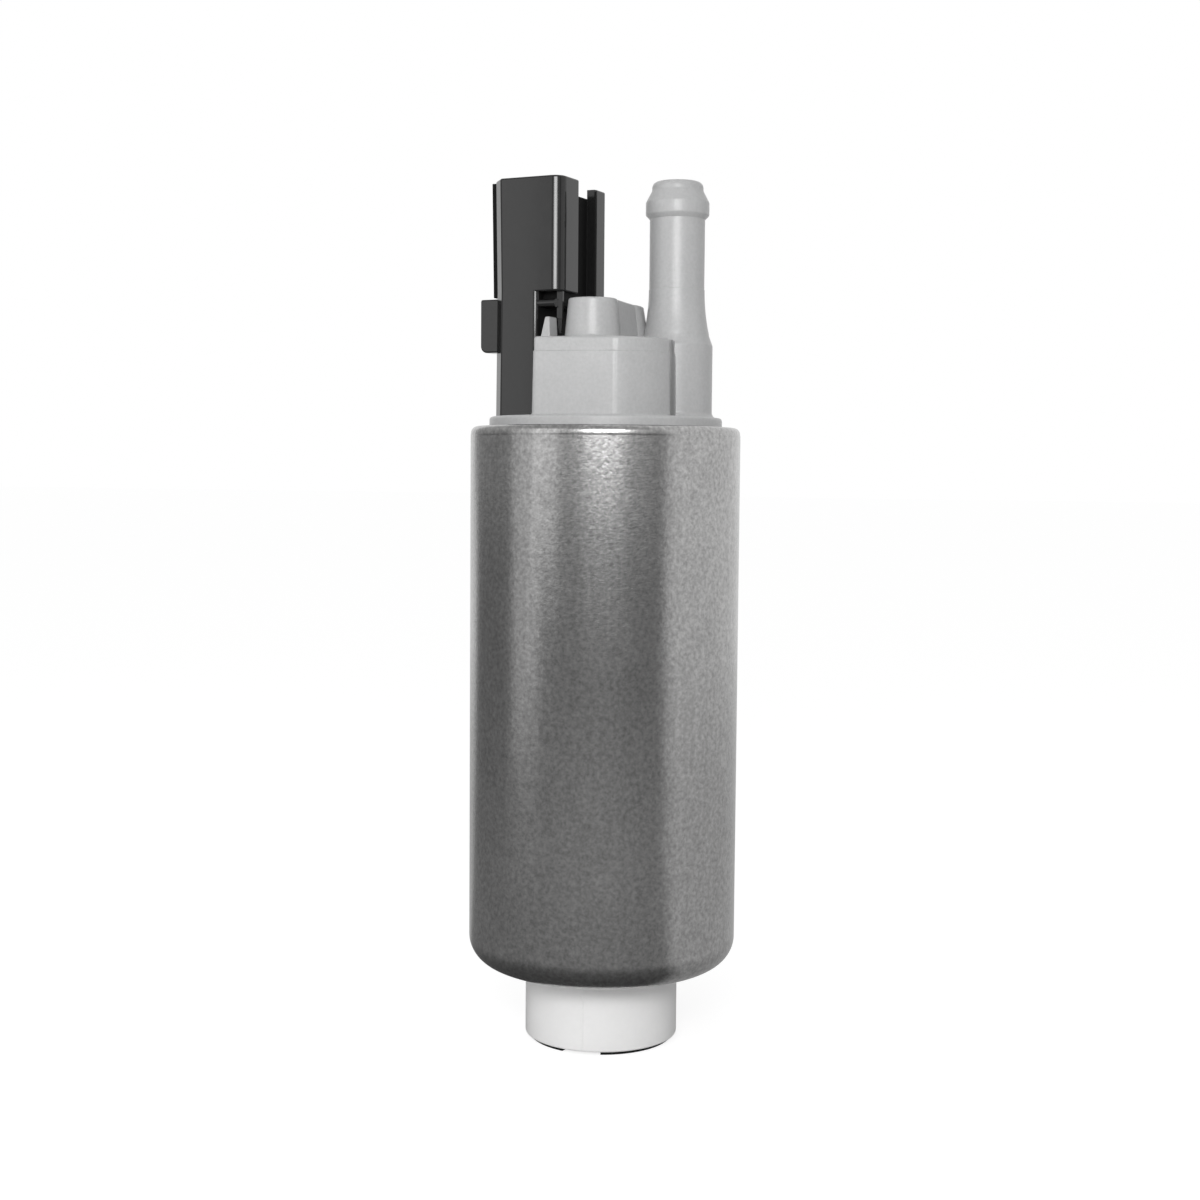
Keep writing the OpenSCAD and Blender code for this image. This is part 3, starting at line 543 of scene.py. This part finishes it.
# Cover: flange turned with the groove for its seal
SEAL_WIRE = 1.8
Z_SEAL = Z_PLUG + 4
Z_SEAL_TOP = Z_SEAL + SEAL_WIRE + 0.4
Z_UNDER_LIP = Z_LIP - CAN_WALL - 0.02
DECK_EDGE = 0.45
flange = stack("cover", circle_plan(STACK_R, steps=192), [
    (0, Z_PLUG), (0, Z_SEAL), (-SEAL_WIRE, Z_SEAL), (-SEAL_WIRE, Z_SEAL_TOP), (0, Z_SEAL_TOP),
    (0, Z_UNDER_LIP), (FLANGE_R - STACK_R, Z_UNDER_LIP)]
    + [(FLANGE_R - STACK_R + d, z) for d, z in edge_out(Z_DECK, DECK_EDGE)])

WITNESS, WITNESS_DROP = 0.12, 2.1   # the step round the drum, and how far it is below the top
DRUM_DRAFT = 0.15                   # how much the drum widens from the step to its foot
DRUM_FOOT, DRUM_EDGE = 0.5, 0.45


def drum_levels():
    """Foot fillet on the deck, side, witness step and rounded top edge."""
    foot = [(WITNESS + DRUM_DRAFT + DRUM_FOOT - d, Z_DECK + DRUM_FOOT - h)
            for d, h in arc(0, 0, DRUM_FOOT, 90, 0, 5)]
    return ([(foot[0][0], Z_DECK - 0.5)] + foot
            + [(WITNESS, Z_DRUM - WITNESS_DROP), (0, Z_DRUM - WITNESS_DROP + WITNESS)]
            + edge_out(Z_DRUM, DRUM_EDGE, 6))


# Drum with its wings in one outline; it stops short of the connector's leg
WING_X0, WING_Y0 = -5.8, 11.7       # outer corner of a wing
CORNER_AT = 57.6        # direction from +X of the corner between a wing's flat face and the drum
CORNER_BEYOND = 8       # degrees on from that corner, a point that gives the drum's direction
CORNER_KEPT = 2         # degrees of the round drum that the corner's own rounding takes
WING_EDGE, CORNER_EDGE = 0.5, 1.6
LEG_GAP = 0.12          # between the drum and the leg


def fillet(before, corner, after, r, count=6):
    """Points that round a corner between two straight runs."""
    return [(x, y) for x, y, _, _ in round_plan([(*before, 0), (*corner, r), (*after, 0)], count)
            [count + 1:2 * count + 2]]


def on_drum(degrees):
    """The point of the drum's circle in that direction, on the -Y side."""
    x, y = arc(0, 0, DRUM_R, degrees, degrees, 1)[0]
    return x, -y


back_at = math.degrees(math.acos((-LEG_IN - LEG_GAP) / DRUM_R))
wing_at = math.degrees(math.acos(-WING_X0 / DRUM_R))
wing_tip, corner = (WING_X0, -WING_Y0), on_drum(CORNER_AT)
near_side = (arc(0, 0, DRUM_R, -180 + back_at, -180 + wing_at, 12)
             + fillet((WING_X0, -5), wing_tip, corner, WING_EDGE)
             + fillet(wing_tip, corner, on_drum(CORNER_AT - CORNER_BEYOND), CORNER_EDGE)
             + arc(0, 0, DRUM_R, CORNER_KEPT - CORNER_AT, 0, 60)[:-1])
drum_plan = outline(near_side + [(DRUM_R, 0)] + [(x, -y) for x, y in reversed(near_side)])
drum = stack("drum", drum_plan, drum_levels())

# Boss: two round brush towers and the web between them, all with draft
WEB_HALF = 3.1
BOSS_FOOT, BOSS_EDGE = 0.45, 0.28
BOSS_DROP, BOSS_SPLAY = 0.45, 0.35  # how much the rear end sinks at its top and widens at its foot
SLOPE_FROM, SLOPE_OVER = -4, 10     # where the slope starts, and the length over which it grows
boss_h = Z_BOSS - Z_DRUM
boss_wide = boss_h * BOSS_DRAFT + BOSS_FOOT
web_at = math.degrees(math.acos(WEB_HALF / BOSS_R))
tower = arc(0, -BOSS_HALF, BOSS_R, -180 - web_at, web_at, 60)
boss = stack("boss", outline(tower + [(-x, -y) for x, y in tower]), (
    [(boss_wide, Z_DRUM - 0.6)]
    + [(boss_wide - d, Z_DRUM + BOSS_FOOT - h) for d, h in arc(0, 0, BOSS_FOOT, 90, 4, 5)]
    + edge_out(Z_BOSS, BOSS_EDGE, 6)))
for v in boss.data.vertices:
    x, y, z = v.co / MM
    height = (z - Z_DRUM) / boss_h
    rear = min(max((y - SLOPE_FROM) / SLOPE_OVER, 0), 1)
    v.co.z -= BOSS_DROP * rear * max(height, 0) * MM
    v.co.xy += Vector((x, y - BOSS_HALF)).normalized() * BOSS_SPLAY * rear * (1 - height) * MM

# Column with its shoulder, flare, hose neck, barb and tip
COLUMN_R = 5.3
NECK_R = 4.0
FLARE_R = 0.7
Z_SHOULDER = Z_DRUM - 0.35
Z_FLARE = Z_DRUM + 1.1
Z_NECK = Z_DRUM + 7.5
COLUMN_FOOT = 1.0
TIP_R, TIP_ROUND, TIP_H = 3.72, 0.9, 1.3
BAND_TOP, BAND_FOOT = 3.0, 4.75     # ends of the barb's straight band, below the tip
NECK_STEP = 0.05                    # the faint step where the flare ends at the neck
flare_h = Z_NECK - Z_FLARE
flare_arc = (flare_h ** 2 + FLARE_R ** 2) / (2 * FLARE_R)
flare_turn = math.degrees(math.asin(flare_h / flare_arc))
z_band, z_cone, z_tip_foot = Z_TIP - BAND_FOOT, Z_TIP - BAND_TOP, Z_TIP - TIP_H
# From the deck up; the small steps of a tenth or less round the edges between the straight runs
barb_levels = (
    [(COLUMN_R + COLUMN_FOOT, Z_DECK - 0.5)]
    + [(COLUMN_R + COLUMN_FOOT - d, Z_DECK + COLUMN_FOOT - h)
       for d, h in arc(0, 0, COLUMN_FOOT, 90, 0, 8)]
    + [(COLUMN_R, Z_SHOULDER - 0.3), (COLUMN_R - 0.04, Z_SHOULDER - 0.1),
       (COLUMN_R - 0.12, Z_SHOULDER + 0.1), (NECK_R + FLARE_R + NECK_STEP, Z_FLARE - 0.15)]
    + [(NECK_R + NECK_STEP + flare_arc * (1 - math.cos(math.radians(a))),
        Z_NECK - flare_arc * math.sin(math.radians(a)))
       for a in [flare_turn * (1 - i / 10) for i in range(11)]]
    + [(NECK_R, Z_NECK + 0.06), (NECK_R, z_band - 0.65),
       (BARB_R - 0.06, z_band - 0.09), (BARB_R - 0.015, z_band), (BARB_R, z_band + 0.1),
       (BARB_R, z_cone - 0.1), (BARB_R - 0.02, z_cone + 0.03), (BARB_R - 0.07, z_cone + 0.15),
       (TIP_R + 0.08, z_tip_foot - 0.17), (TIP_R + 0.03, z_tip_foot - 0.03),
       (TIP_R, z_tip_foot + 0.1)]
    + [(TIP_R + d, z) for d, z in edge_out(Z_TIP, TIP_ROUND, 8)])
barb = stack("barb", circle_plan(0.0, (BARB_X, BARB_Y), 128), barb_levels)

# Latch peg in front of the boss, from one rectangle (x0, y0, x1, y1) up to another
PEG_BASE, PEG_TOP = (-6.56, -8.1, -4.98, -5.55), (-5.86, -7.9, -5.16, -5.6)
PEG_H, PEG_EDGE = 3.0, 0.16
peg = taper("peg", PEG_BASE, PEG_TOP, Z_DRUM - 0.3, Z_DRUM + PEG_H, PEG_EDGE)

cover = add(flange, drum, barb, boss, peg)

# Hollows of the cover: brush tubes, choke pockets, blade slots, bearing seat and the passage
BLADE_X = (blade_low.x + blade_high.x) / 2
BLADE_Y = -(blade_low.y + blade_high.y) / 2
BLADE_W = blade_high.x - blade_low.x + 0.2
Z_BLADE_FOOT = blade_low.z
SLOT_HALF = 0.5             # half the width of a blade slot
Z_TUBE_TOP = Z_BOSS - 2
CHAMBER_R = 3.4
Z_CHAMBER_TOP = Z_DRUM + 2.6
BRUSH_TUBE_R, POCKET_R, BEARING_R, BEARING_H = 2.18, 2.3, 2.73, 6


def blade_slot(side, r=0, steps=1):
    """Plan of the slot round one blade."""
    y, half = side * BLADE_Y, BLADE_W / 2
    return rect(BLADE_X - half, y - SLOT_HALF, BLADE_X + half, y + SLOT_HALF, r, steps)


def from_below(plan, top):
    """A cutter that comes up through the cover's lower face to the level top."""
    return stack("hole", plan, [(0, Z_PLUG - PAST), (0, top)])


for side in (-1, 1):
    cut(cover,
        from_below(circle_plan(BRUSH_TUBE_R, (0, side * BRUSH_Y), 48), Z_TUBE_TOP),
        from_below(circle_plan(POCKET_R, (BLADE_X, side * BLADE_Y), 48), Z_BLADE_FOOT + 0.5),
        stack("hole", blade_slot(side), [(0, Z_BLADE_FOOT), (0, Z_DECK + PAST)]))
cut(cover,
    from_below(circle_plan(BEARING_R, steps=48), Z_PLUG + BEARING_H),
    from_below(circle_plan(CHAMBER_R, (BARB_X, BARB_Y), 64), Z_CHAMBER_TOP),
    stack("hole", circle_plan(BORE_R, (BARB_X, BARB_Y), 64),
          [(0, Z_CHAMBER_TOP - 0.5)] + mouth(Z_TIP, 0.3)))

# Groove in the drum beside the column; it widens outwards and narrows towards the drum's top
groove_in, groove_out = (9.44, 1.31, 0.42), (10.42, 0.12, 0.85)     # its ends: x, y, radius
inwards = math.degrees(math.atan2(groove_in[1] - groove_out[1], groove_in[0] - groove_out[0]))
cut(cover, stack("hole", outline(
    arc(*groove_in, inwards - 90, inwards + 90, 16)
    + arc(*groove_out, inwards + 90, inwards + 270, 16)),
    [(0, Z_DECK + 0.25), (0, Z_DRUM - 1.5), (-0.25, Z_DRUM + 0.3)]))
finish(cover, "outlet_cover", grey_plastic)

# Connector shroud: chamfers on the outer side, rounded corners on the inner side
CHAMFER, CHAMFER_EDGE = 2.0, 0.5
BOX_ROUND, LEG_ROUND = 1.75, 0.8
RIM_EDGE, LEG_EDGE = 0.3, 0.25
OUTER_X = CONN_X0 + 0.22        # the flat outer face, behind the rib


def shroud_plan(inner_x, r):
    """Plan of the shroud from its outer face to inner_x; r rounds the two inner corners."""
    half = [(OUTER_X, CHAMFER - CONN_Y, CHAMFER_EDGE),
            (CONN_X0 + CHAMFER + 0.1, -CONN_Y, CHAMFER_EDGE), (inner_x, -CONN_Y, r)]
    return round_plan(half + [(x, -y, edge) for x, y, edge in reversed(half)])


body = stack("connector", shroud_plan(CONN_X1, BOX_ROUND),
             edge_in(Z_LEG, RIM_EDGE) + edge_out(Z_RIM, RIM_EDGE))
leg = stack("leg", shroud_plan(LEG_IN, LEG_ROUND),
            edge_in(Z_DECK + 0.02, LEG_EDGE) + [(0, Z_LEG + PAST)])


def brick(name, low, high, r=0.15):
    """A box with rounded vertical, top and bottom edges."""
    return stack(name, rect(*low[:2], *high[:2], r, 4),
                 edge_in(low[2], r, 4) + edge_out(high[2], r, 4))


BAR_H = 2.2                         # how far the hanger and the bar on it reach below the box
BAR_R, BAR_Y = 0.58, 6.0
HANGER_Y, HANGER_EDGE = 4.9, 0.3
RIB_OUT, RIB_Y0, RIB_Y1, RIB_EDGE = 0.85, -4.0, -3.0, 0.1
RIB_BELOW, RIB_DROP = 0.4, 0.2      # its ends, below the box's foot and below the rim
RAIL, RAIL_DROP, RAIL_EDGE = 0.35, 0.7, 0.25
CHANNEL_Y0, CHANNEL_Y1, CHANNEL_T = -1.3, 3.8, 1.2
rib = brick("rib", (CONN_X0 - RIB_OUT, RIB_Y0, Z_LEG - RIB_BELOW),
            (CONN_X0 + PAST, RIB_Y1, Z_RIM - RIB_DROP), RIB_EDGE)
rail = brick("rail", (CONN_X1 - PAST, CHANNEL_Y1, Z_LEG),
             (CONN_X1 + RAIL, CONN_Y, Z_RIM - RAIL_DROP), RAIL_EDGE)
hanger = brick("hanger", (LEG_IN - PAST, -HANGER_Y, Z_LEG - BAR_H),
               (CONN_X1 - 0.6, HANGER_Y, Z_LEG + PAST), HANGER_EDGE)


def bar(side):
    """Rounded bar across the notch, in front of the hanger."""
    z = Z_LEG - BAR_H + BAR_R
    ring = arc(side * (BAR_Y - 0.05), z, BAR_R, 0, TURN, 24)[:-1]
    return loft("bar", [[(x, y, h) for y, h in ring] for x in (LEG_IN - 0.5, CONN_X1 - 1.1)])


FINGER_Y0, FINGER_Y1 = -5.5, -5.1
FINGER_LEVELS = (               # inner x, outer x, z: the wedge's tip, its root and the top
    (-4.75, -4.5, Z_DRUM + 0.8), (-5.2, -4.35, Z_DRUM + 3.1), (-5.2, -4.25, Z_LEG + PAST))
LUG_Y0, LUG_Y1, LUG_EDGE = -4.3, -1.5, 0.25
LUG_X = conn_low.x - 0.4
LUG_Z0, LUG_Z1 = Z_DECK + 9.45, Z_DECK + 17.2
LUG_FOOT, LUG_TOP = 1.0, 0.3    # roundings of its two outer corners


def finger():
    """Hooked finger that comes down towards the drum beside the boss and ends in a wedge."""
    return loft("finger", [
        [(x, y, z) for x, y in ((x0, FINGER_Y0), (x1, FINGER_Y0), (x1, FINGER_Y1), (x0, FINGER_Y1))]
        for x0, x1, z in FINGER_LEVELS])


def lug():
    """Lug on the outer face of the leg, drawn from the side and then turned upright."""
    root = CONN_X0 + PAST
    side = round_plan([(LUG_X, LUG_Z0, LUG_FOOT), (root, LUG_Z0, 0.1), (root, LUG_Z1, 0.1),
                       (LUG_X, LUG_Z1, LUG_TOP)])
    e = LUG_EDGE
    ob = stack("lug", side, [(d, y + LUG_Y0) for d, y in
                             [(-e + a, e + b) for a, b in arc(0, 0, e, -90, 0, 4)]
                             + [(-e + a, LUG_Y1 - LUG_Y0 - e + b)
                                for a, b in arc(0, 0, e, 0, 90, 4)]])
    for v in ob.data.vertices:
        v.co = (v.co.x, v.co.z, v.co.y)
    return face_out(ob)


connector = add(body, leg, rib, rail, hanger, bar(-1), bar(1), finger(), lug())

# Socket, keying channel, the notches in the rim on both sides of it, and the blade slots
SOCKET_W = blade_high.x - blade_low.x + 5.3
Z_SOCKET = Z_RIM - 12.1
SOCKET_Y = CONN_Y - 1.3
NOTCH_DROP = 2
WALL_IN = CONN_X1 - 3           # past the wall between the channel and the socket
BEYOND = CONN_X1 + 3            # clear of the shroud


def notch(x0, y0, x1, y1, bottom):
    """A cutter that comes down into the rim to the level bottom."""
    return stack("hole", rect(x0, y0, x1, y1, 0.12), [(0, bottom), (0, Z_RIM + PAST)])


cut(connector,
    stack("hole", rect(BLADE_X - SOCKET_W / 2, -SOCKET_Y, BLADE_X + SOCKET_W / 2, SOCKET_Y, 0.5),
          [(0, Z_SOCKET)] + mouth(Z_RIM, 0.25)),
    notch(CONN_X1 - CHANNEL_T, CHANNEL_Y0, BEYOND, CHANNEL_Y1, Z_LEG - BAR_H - PAST),
    notch(WALL_IN, CHANNEL_Y0, BEYOND, CHANNEL_Y1, Z_RIM - NOTCH_DROP),
    notch(CONN_X1 - 5.5, CHANNEL_Y0 + 1, CONN_X1 - CHANNEL_T, CONN_Y + PAST, Z_RIM - NOTCH_DROP),
    notch(WALL_IN, CHANNEL_Y1 - 0.5, BEYOND, CONN_Y + PAST, Z_RIM - RAIL_DROP))
for side in (-1, 1):
    cut(connector, stack("hole", blade_slot(side, 0.05, 5),
                         [(0, Z_DECK - PAST), (0, Z_SOCKET + PAST)]))

# Draft of the box's outer side, and a constant shift of the leg's; both fade towards the can
BOX_DRAFT, LEG_SET = 0.3, 0.12
SET_FROM, SET_OVER = -10.0, 4   # x where the shift starts, and the length over which it grows
BOX_FOOT = Z_LEG - 0.45         # below this a point belongs to the leg
for v in connector.data.vertices:
    x, z = v.co.x / MM, v.co.z / MM
    outer = min(max((SET_FROM - x) / SET_OVER, 0), 1)
    inward = BOX_DRAFT * (Z_RIM - z) / (Z_RIM - Z_LEG) if z > BOX_FOOT else LEG_SET
    v.co.x += outer * inward * MM
finish(connector, "connector_shell", black_plastic)

# Painted shade: a darker matt black on the faces under the box, inside the leg and in the keying
# channel, and on the rib, where shade falls
NEAR = 0.05
connector.data.materials.append(painted_shade_black)
for face in connector.data.polygons:
    x, y, z = face.center / MM
    under = z < Z_LEG + NEAR and abs(y) < HANGER_Y + NEAR and x > LEG_IN - NEAR
    leg_side = abs(x - LEG_IN) < NEAR and z < Z_LEG and abs(y) < CONN_Y - 0.5
    channel = (CHANNEL_Y0 - NEAR < y < CHANNEL_Y1 + NEAR and x > CONN_X1 - CHANNEL_T - NEAR
               and z < Z_RIM - NOTCH_DROP - NEAR)
    on_rib = x < OUTER_X - 0.02 and RIB_Y0 - NEAR < y < RIB_Y1 + NEAR and z > BOX_FOOT
    if under or leg_side or channel or on_rib:
        face.material_index = 1

# Camera, in the frame of the picture and then turned to where the picture was taken from
PICTURE = 1200          # width and height of the picture
FOCAL_PX = 1780         # focal length in its pixels
SENSOR = 36.0           # width of the sensor in mm
CAMERA_AWAY = 258.99
CAMERA_UP = 82.73
CAMERA_LEFT = 0.615
TILT = 0.071            # downwards, in radians
ROLL = 0.008            # in radians
AZIMUTH = math.radians(26.22)


def make_camera():
    """The camera is laid out looking along +Y and then turned round Z by AZIMUTH."""
    data = bpy.data.cameras.new("camera")
    data.sensor_width = SENSOR
    data.lens = FOCAL_PX * SENSOR / PICTURE
    data.clip_start = 0.01
    right = Vector((1, 0, 0))
    ahead = Vector((0, math.cos(TILT), -math.sin(TILT)))
    up = Vector((0, math.sin(TILT), math.cos(TILT)))
    rolled_right = right * math.cos(ROLL) + up * math.sin(ROLL)
    rolled_up = up * math.cos(ROLL) - right * math.sin(ROLL)
    m = Matrix((rolled_right, rolled_up, -ahead)).transposed().to_4x4()
    m.translation = Vector((-CAMERA_LEFT, -CAMERA_AWAY, CAMERA_UP)) * MM
    ob = bpy.data.objects.new("camera", data)
    bpy.context.scene.collection.objects.link(ob)
    ob.matrix_world = Matrix.Rotation(AZIMUTH, 4, "Z") @ m
    bpy.context.scene.camera = ob


make_camera()


# The white sweep lies behind the object and to its right, between these two directions from it,
# in degrees to the right of the camera's; on the floor it ends a little further round
SWEEP_START, SWEEP_END, SWEEP_END_FLOOR = 52, 214, 222


def is_white(sh, x, y, soft, end):
    """1 for what the camera and glass see, and for what gloss sees on the side of the sweep.

    Also gives the light path and whether the point is on the sweep, where soft is the width of
    its edge and end its last direction."""
    path = sh.node("ShaderNodeLightPath")
    on_sweep = 1.0
    for edge in (SWEEP_START + 90, end - 90):
        a = AZIMUTH + math.radians(edge)
        depth = sh.math("SUBTRACT", sh.math("MULTIPLY", x, math.sin(a)),
                        sh.math("MULTIPLY", y, math.cos(a)))
        on_sweep = sh.math("MULTIPLY", on_sweep, sh.ramp(depth, -soft, soft, 0.0, 1.0))
    gloss = sh.math("MULTIPLY", path.outputs["Is Glossy Ray"], on_sweep)
    seen = sh.math("MAXIMUM", path.outputs["Is Camera Ray"], path.outputs["Is Transmission Ray"])
    return sh.math("MAXIMUM", seen, gloss), path, on_sweep


FLOOR_HALF = 6000.0             # half the floor's width in mm
PALE = 0.40                     # its shade
PALE_BOUNCE, SWEEP_BOUNCE = 0.40, 0.25      # more shade for soft light, less of it on the sweep
PAINTED_CONTACT_SHADOW = (0.015, 0.07, 0.26)   # painted shadow round the foot, in gloss only: from, to (metres), by how much
GLOW = 0.80                     # what the floor adds where it is white
PAINTED_GLOW_SHADE = (0.05, 0.8, 0.46, 0.06)          # painted shade: less glow in gloss nearer the foot: from, to (metres), by how much there


def floor():
    """Pale floor that shows white to the camera and keeps the object's shadow; in gloss it has
    painted shade round the foot.
    """
    r = FLOOR_HALF
    ob = make("floor", [(-r, -r, 0), (r, -r, 0), (r, r, 0), (-r, r, 0)], [(0, 1, 2, 3)])
    mat = bpy.data.materials.new("pale floor")
    mat.use_nodes = True
    tree = mat.node_tree
    tree.nodes.clear()
    sh = Shader(tree)
    out = sh.node("ShaderNodeOutputMaterial")
    where = sh.node("ShaderNodeNewGeometry").outputs["Position"]
    xyz = sh.node("ShaderNodeSeparateXYZ", Vector=where)
    seen, path, on_sweep = is_white(sh, xyz.outputs["X"], xyz.outputs["Y"], 0.004,
                                    SWEEP_END_FLOOR)
    shade = sh.node("ShaderNodeCombineColor")
    bounce = sh.math("SUBTRACT", PALE_BOUNCE, sh.math("MULTIPLY", on_sweep, SWEEP_BOUNCE))
    level = sh.math("ADD", sh.math("MULTIPLY", path.outputs["Is Diffuse Ray"], bounce), PALE)
    away = sh.node("ShaderNodeVectorMath", operation="LENGTH")
    sh.put(away.inputs[0], where)
    # Painted shadow: in gloss the floor is darker round the foot
    painted_shadow = sh.ramp(away.outputs["Value"], *PAINTED_CONTACT_SHADOW, 0.0)
    level = sh.math("SUBTRACT", level, sh.math("MULTIPLY", path.outputs["Is Glossy Ray"], painted_shadow))
    for key in ("Red", "Green", "Blue"):
        sh.put(shade.inputs[key], level)
    pale = sh.node("ShaderNodeBsdfDiffuse", Color=shade.outputs[0])
    # Painted shade: in gloss the floor's glow fades towards the foot
    dim = sh.ramp(away.outputs["Value"], *PAINTED_GLOW_SHADE)
    glow = sh.math("SUBTRACT", GLOW, sh.math("MULTIPLY", path.outputs["Is Glossy Ray"], dim))
    white = sh.node("ShaderNodeEmission", Color=(1, 1, 1, 1), Strength=glow)
    lit = sh.node("ShaderNodeAddShader")
    tree.links.new(pale.outputs[0], lit.inputs[0])
    tree.links.new(white.outputs[0], lit.inputs[1])
    mix = sh.node("ShaderNodeMixShader")
    sh.put(mix.inputs[0], seen)
    tree.links.new(pale.outputs[0], mix.inputs[1])
    tree.links.new(lit.outputs[0], mix.inputs[2])
    tree.links.new(mix.outputs[0], out.inputs["Surface"])
    ob.data.materials.append(mat)


floor()


STUDIO_LOW, STUDIO_HIGH = 0.40, 0.58        # the studio's level near the floor and higher up
STUDIO_SHADE = 0.35                         # how much less of it soft light gets from the sweep


def light_world():
    """White background, and round the object a soft grey studio, brighter above."""
    world = bpy.data.worlds.new("studio")
    bpy.context.scene.world = world
    world.use_nodes = True
    tree = world.node_tree
    tree.nodes.clear()
    sh = Shader(tree)
    where = sh.node("ShaderNodeTexCoord").outputs["Generated"]
    xyz = sh.node("ShaderNodeSeparateXYZ", Vector=where)
    seen, path, on_sweep = is_white(sh, xyz.outputs["X"], xyz.outputs["Y"], 0.03, SWEEP_END)
    studio = sh.ramp(xyz.outputs["Z"], 0.02, 0.5, STUDIO_LOW, STUDIO_HIGH)
    shaded = sh.math("MULTIPLY", path.outputs["Is Diffuse Ray"], on_sweep)
    kept = sh.math("SUBTRACT", 1.0, sh.math("MULTIPLY", shaded, STUDIO_SHADE))
    studio = sh.math("MULTIPLY", studio, kept)
    strength = sh.node("ShaderNodeMix", data_type="FLOAT")
    sh.put(strength.inputs[0], seen)
    sh.put(strength.inputs[2], studio)
    strength.inputs[3].default_value = 1.0
    back = sh.node("ShaderNodeBackground", Color=(1, 1, 1, 1), Strength=strength.outputs[0])
    out = sh.node("ShaderNodeOutputWorld")
    tree.links.new(back.outputs[0], out.inputs["Surface"])


def card(name, level, azimuth, spread, z0, z1, away=300.0):
    """A lit card that stands upright and faces the object.

    azimuth is its direction from the object, in degrees to the right of the camera's, and spread
    is the angle it covers; z0 and z1 are its foot and top, and level is its brightness."""
    data = bpy.data.lights.new(name, "AREA")
    data.shape = "RECTANGLE"
    data.size = 2 * away * math.tan(math.radians(spread / 2)) * MM
    data.size_y = (z1 - z0) * MM
    data.energy = level * math.pi * data.size * data.size_y
    ob = bpy.data.objects.new(name, data)
    bpy.context.scene.collection.objects.link(ob)
    a = AZIMUTH + math.radians(azimuth)
    toward = Vector((math.sin(a), -math.cos(a), 0))
    pose = (-toward).to_track_quat("-Z", "Y").to_matrix().to_4x4()
    pose.translation = (toward * away + Vector((0, 0, (z0 + z1) / 2))) * MM
    ob.matrix_world = pose
    ob.visible_camera = False


light_world()
card("key", 5.0, -1, 37, 127, 205)
card("key core", 8.5, -2, 22, 128, 205, 298.0)
card("front fill", 0.31, -4, 84, 84, 260, 302.0)
card("left card", 0.46, -68, 26, 4, 260)
card("left strip", 0.78, -50, 22, 58, 260, 299.0)

bpy.context.scene.view_settings.view_transform = "Standard"
